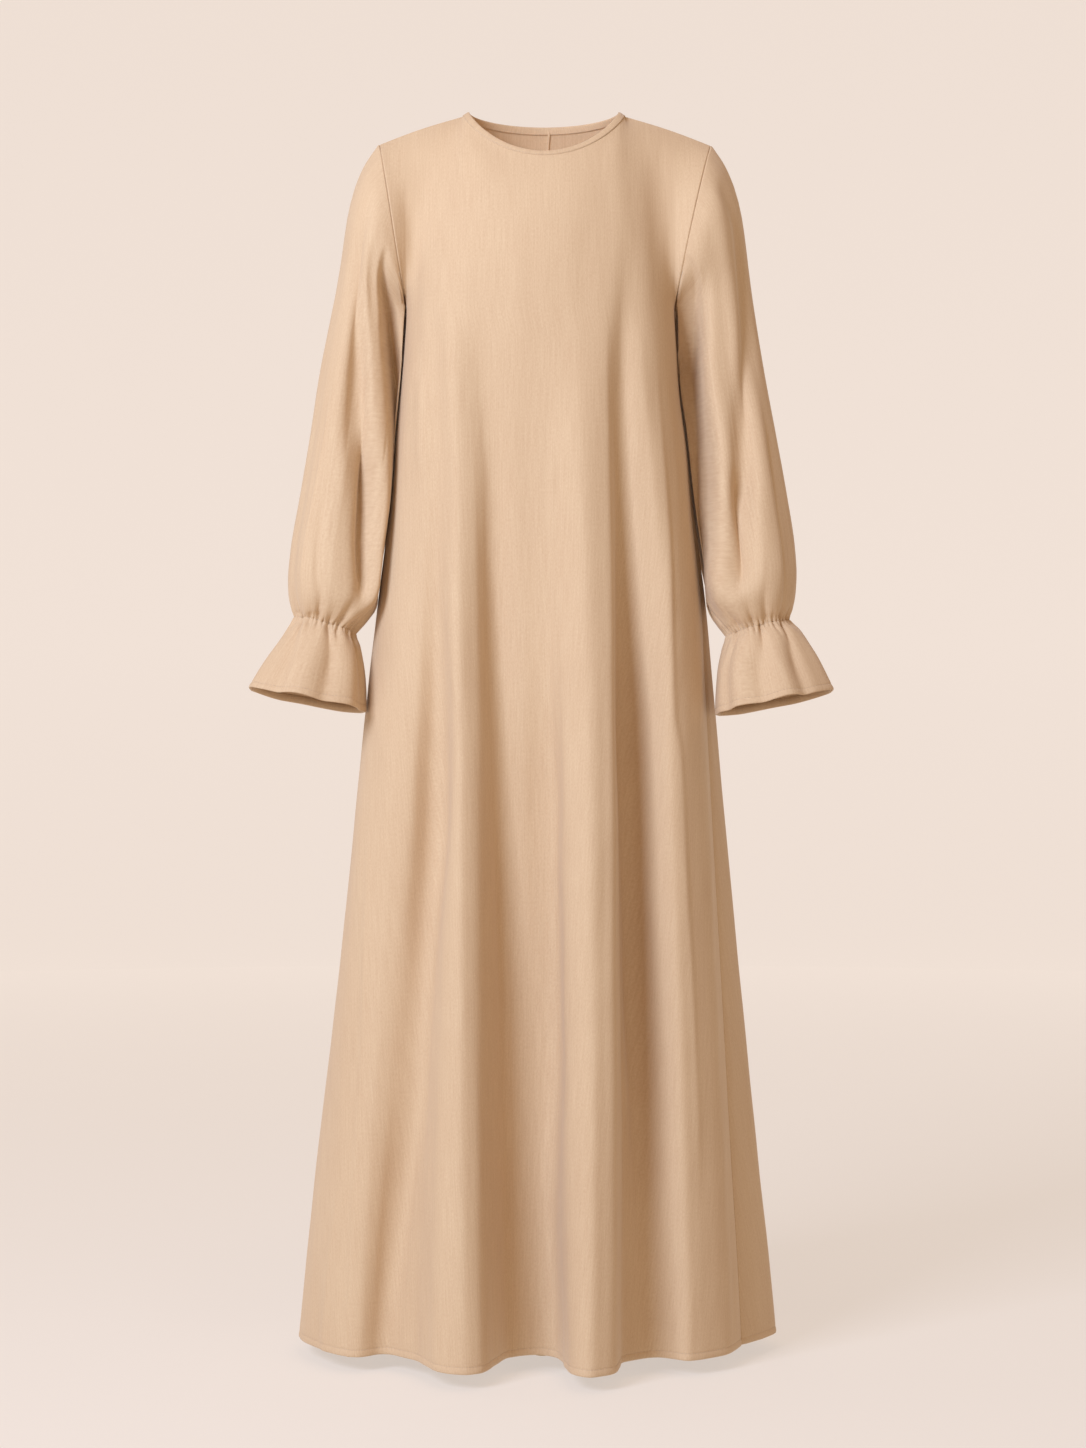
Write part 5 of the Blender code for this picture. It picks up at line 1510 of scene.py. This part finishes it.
def add_camera():
    """Camera at the photo's place and angle."""
    camera = bpy.data.cameras.new("photo_camera")
    camera.lens = CAMERA_LENS
    camera.sensor_width = CAMERA_SENSOR
    camera.sensor_fit = "AUTO"
    camera.dof.use_dof = False
    item = bpy.data.objects.new("photo_camera", camera)
    item.location = CAMERA_PLACE
    item.rotation_euler = (math.pi / 2, 0.0, 0.0)
    bpy.context.scene.collection.objects.link(item)
    bpy.context.scene.camera = item


class AbayaCloth(bpy.types.PropertyGroup):
    """Sizes and colours of the cloth and its sewing."""

    cloth_light: FloatVectorProperty(
        name="Light yarns", description="Colour of the raised yarns", subtype="COLOR",
        size=3, min=0.0, max=1.0, default=linear("D3B996"))
    cloth_deep: FloatVectorProperty(
        name="Deep yarns", description="Colour between the raised yarns", subtype="COLOR",
        size=3, min=0.0, max=1.0, default=linear("C5A785"))
    thread: FloatVectorProperty(
        name="Thread", description="Colour of the sewing thread", subtype="COLOR",
        size=3, min=0.0, max=1.0, default=linear("CBB295"))
    thickness: FloatProperty(
        name="Cloth thickness", description="Thickness of one layer of cloth",
        default=CLOTH_THICKNESS, min=0.0002, max=0.0015, unit="LENGTH")
    stitch_length: FloatProperty(
        name="Stitch length", description="Length of one stitch that shows",
        default=STITCH_LENGTH, min=0.001, max=0.006, unit="LENGTH")
    stitch_gap: FloatProperty(
        name="Stitch gap", description="Cloth between two stitches",
        default=STITCH_GAP, min=0.0005, max=0.004, unit="LENGTH")
    thread_width: FloatProperty(
        name="Thread width", description="Thickness of the sewing thread",
        default=THREAD_WIDTH, min=0.0002, max=0.002, unit="LENGTH")
    crease_depth: FloatProperty(
        name="Crease depth", description="Share of the creases' full depth",
        default=1.0, min=0.0, max=1.5, subtype="FACTOR")
    pucker_depth: FloatProperty(
        name="Pucker depth", description="Share of the wrist gathers' full depth",
        default=1.0, min=0.0, max=1.5, subtype="FACTOR")


class AbayaStudio(bpy.types.PropertyGroup):
    """Colour and light of the studio."""

    # The backdrop colour is also the colour of the paper's glow, painted light in place of lamps on it
    backdrop: FloatVectorProperty(
        name="Backdrop", description="Colour of the paper", subtype="COLOR",
        size=3, min=0.0, max=1.0, default=linear("EADFD6"))
    key_power: FloatProperty(
        name="Key light", description="Power of the large light at the front left",
        default=151.0, min=0.0, max=1000.0, unit="POWER")
    fill_power: FloatProperty(
        name="Fill light", description="Power of the weak light at the front right",
        default=6.0, min=0.0, max=500.0, unit="POWER")
    top_power: FloatProperty(
        name="Top light", description="Power of the small light above the neck",
        default=5.0, min=0.0, max=500.0, unit="POWER")
    neck_power: FloatProperty(
        name="Neck light", description="Power of the small light inside the neck",
        default=0.082, min=0.0, max=5.0, unit="POWER")
    room_light: FloatProperty(
        name="Room light", description="Strength of the light from all round",
        default=0.365, min=0.0, max=3.0)


def build_panel(name, sewing, node, span, columns, rolls):
    """One body panel with its hem stitches, tied to its solid."""
    sizes = bpy.context.scene.abaya_cloth
    fine, normals, grain, neck, rows = body_panel(node != "front", *span, columns, sizes)
    grid, grain = with_edges(fine, normals, grain, neck, *rolls)
    item = shell_mesh(name, grid, grain, -1.0, False, sizes.thickness, [crepe_material()])
    row = stitch_level(rows, rows[-1] - BODY_HEM[0])
    hem = stitch_row(sewing, fine[row, 2:-2], normals[row, 2:-2], False, sizes)
    clothe(item, node, [hem])


def build_sleeve(side):
    """One bishop sleeve with its hem and elastic stitches, tied to its solid."""
    sizes = bpy.context.scene.abaya_cloth
    fine, normals, grain, rows, elastic = sleeve_surface(side, FINE_SLEEVE_COLUMNS, sizes)
    outward = OUTWARD[side]
    extra = len(SEAM_ROLL) - 1
    grid = rolled_first_row(fine, normals, SEAM_ROLL)
    grid = rolled_last_row(grid, normals, HEM_ROLL)
    grain = np.pad(grain, ((extra, extra), (0, 0)), mode="edge")
    name = "sleeve_cloth_" + side
    item = shell_mesh(name, grid, grain, outward, True, sizes.thickness, [crepe_material()])
    row = stitch_level(rows, rows[-1] - CUFF_HEM[0])
    hem = stitch_row("cuff_hem_stitches_" + side, fine[row], normals[row], True, sizes)
    row = stitch_level(rows, elastic)
    wrist = stitch_row("elastic_stitches_" + side, fine[row], normals[row], True, sizes)
    clothe(item, "sleeve_" + side, [hem, wrist])


def binding_strip(materials):
    """Strip folded over the neck edge, with the lines of its stitches."""
    angles = np.linspace(-math.pi / 2, math.pi / 2, 181)[:-1]
    ring = [(a, False) for a in angles] + [(-a, True) for a in angles]
    seam = np.array([tuple(neck_point(NECK_SEAM, a, back)) for a, back in ring])
    edge = np.array([tuple(neck_point(NECK_EDGE, a, back)) for a, back in ring])
    along = unit(np.roll(seam, -1, axis=0) - np.roll(seam, 1, axis=0))
    up = unit(edge - seam)
    away = unit(np.cross(along, up))
    out = np.einsum("ij,ij->i", away, seam * (1.0, 1.0, 0.0) + (0.0, 0.0, 0.3))
    away = away * np.sign(out)[:, None]
    tall = np.linalg.norm(edge - seam, axis=1)[:, None]
    profile = BINDING_LEG + ((1.0, 0.0),) + tuple((s, -n) for s, n in reversed(BINDING_LEG))
    lines = []
    for share, side in profile:
        lines.append(seam + up * (tall * share) + away * (side * BINDING_HALF - BINDING_SHIFT))
    grid = np.array(lines)
    place = np.arange(len(ring))
    swell = BINDING_SWELL * (1.0 + 0.10 * np.sin(place * 0.35 + np.sin(place * 0.11)))
    grid[1:5] += (away * swell[:, None])[None]
    run = np.cumsum(np.linalg.norm(np.roll(seam, -1, axis=0) - seam, axis=1))
    grain = np.repeat(run[None, :], len(profile), axis=0)
    middle = surface_normals(grid, 1.0, True)
    facing = float(np.einsum("ij,ij->i", middle[2], away).sum())
    outward = 1.0 if facing > 0.0 else -1.0
    item = shell_mesh("neck_binding_strip", grid, grain, outward, True, BINDING_CLOTH, materials)
    low = seam + up * (tall * BINDING_STITCH)
    half = BINDING_HALF * BINDING_LEG[1][1]
    shift = BINDING_SHIFT - BINDING_SWELL
    return item, (low + away * (half - shift), away), (low - away * (half + shift), -away)


class ABAYA_OT_front(bpy.types.Operator):
    """Build the front panel with its hem"""

    bl_idname = "abaya.front"
    bl_label = "Front panel"

    def execute(self, context):
        build_panel("front_panel", "front_hem_stitches", "front", (0, FRONT_COLUMNS),
                    FINE_FRONT_COLUMNS, (COVER_ROLL, COVER_ROLL))
        return {"FINISHED"}


class ABAYA_OT_backs(bpy.types.Operator):
    """Build both halves of the back, joined at the centre"""

    bl_idname = "abaya.backs"
    bl_label = "Back panels"

    def execute(self, context):
        left = ("left", (0, CENTRE_COLUMN), (SEAM_ROLL, CENTRE_COVER_ROLL))
        right = ("right", (CENTRE_COLUMN, RING_COLUMNS - FRONT_COLUMNS), (CENTRE_ROLL, SEAM_ROLL))
        for side, span, rolls in (left, right):
            name = "back_panel_" + side
            build_panel(name, name + "_hem_stitches", "back_" + side, span,
                        FINE_BACK_COLUMNS, rolls)
        return {"FINISHED"}


class ABAYA_OT_sleeves(bpy.types.Operator):
    """Build both bishop sleeves with their shirred wrists and ruffles"""

    bl_idname = "abaya.sleeves"
    bl_label = "Sleeves"

    def execute(self, context):
        for side in ("left", "right"):
            build_sleeve(side)
        return {"FINISHED"}


class ABAYA_OT_neck_binding(bpy.types.Operator):
    """Build the folded strip round the neck"""

    bl_idname = "abaya.neck_binding"
    bl_label = "Neck binding"

    def execute(self, context):
        sizes = context.scene.abaya_cloth
        item, low_outside, low_inside = binding_strip([crepe_material()])
        outside = stitch_row("neck_stitches_outside", *low_outside, True, sizes)
        inside = stitch_row("neck_stitches_inside", *low_inside, True, sizes)
        clothe(item, "neck_binding", [outside, inside])
        return {"FINISHED"}


class ABAYA_OT_stage(bpy.types.Operator):
    """Build the paper studio, its lights and the camera"""

    bl_idname = "abaya.stage"
    bl_label = "Stage"

    def execute(self, context):
        studio = context.scene.abaya_studio
        # Floor and walls share the glowing paper: painted light that also lights the garment a little
        # from all round
        paper = [backdrop_material()]
        floor = add_mesh("paper_floor", *floor_mesh(), paper)
        back_wall = add_mesh("paper_wall_back", *wall_mesh(0.0, 180.0), paper)
        front_wall = add_mesh("paper_wall_front", *wall_mesh(180.0, 360.0), paper)
        # The wall behind the camera is seen from the back, and lets the light through
        front_wall.visible_diffuse = False
        front_wall.visible_glossy = False
        front_wall.visible_shadow = False
        for name, place, aim, size, colour in LIGHTS:
            power = getattr(studio, name + "_power")
            add_light(name + "_light", place, aim, size, power, colour)
        add_room(context.scene, studio.room_light)
        add_camera()
        return {"FINISHED"}


class ABAYA_PT_panel(bpy.types.Panel):
    """Lists the pieces and the sizes of the abaya"""

    bl_label = "Abaya"
    bl_idname = "ABAYA_PT_panel"
    bl_space_type = "VIEW_3D"
    bl_region_type = "UI"
    bl_category = "Abaya"

    def draw(self, context):
        layout = self.layout
        for name in AbayaCloth.__annotations__:
            layout.prop(context.scene.abaya_cloth, name)
        for name in AbayaStudio.__annotations__:
            layout.prop(context.scene.abaya_studio, name)
        for operator in OPERATORS:
            layout.operator(operator.bl_idname)


OPERATORS = (ABAYA_OT_front, ABAYA_OT_backs, ABAYA_OT_sleeves, ABAYA_OT_neck_binding,
             ABAYA_OT_stage)
CLASSES = (AbayaCloth, AbayaStudio, *OPERATORS, ABAYA_PT_panel)


def register():
    """Adds the classes and the two groups of settings."""
    for item in CLASSES:
        bpy.utils.register_class(item)
    bpy.types.Scene.abaya_cloth = PointerProperty(type=AbayaCloth)
    bpy.types.Scene.abaya_studio = PointerProperty(type=AbayaStudio)


def unregister():
    """Takes the classes and the settings away."""
    del bpy.types.Scene.abaya_studio
    del bpy.types.Scene.abaya_cloth
    for item in reversed(CLASSES):
        bpy.utils.unregister_class(item)


def main():
    """Builds all pieces."""
    register()
    bpy.ops.abaya.front()
    bpy.ops.abaya.backs()
    bpy.ops.abaya.sleeves()
    bpy.ops.abaya.neck_binding()
    bpy.ops.abaya.stage()


if __name__ == "__main__":
    main()
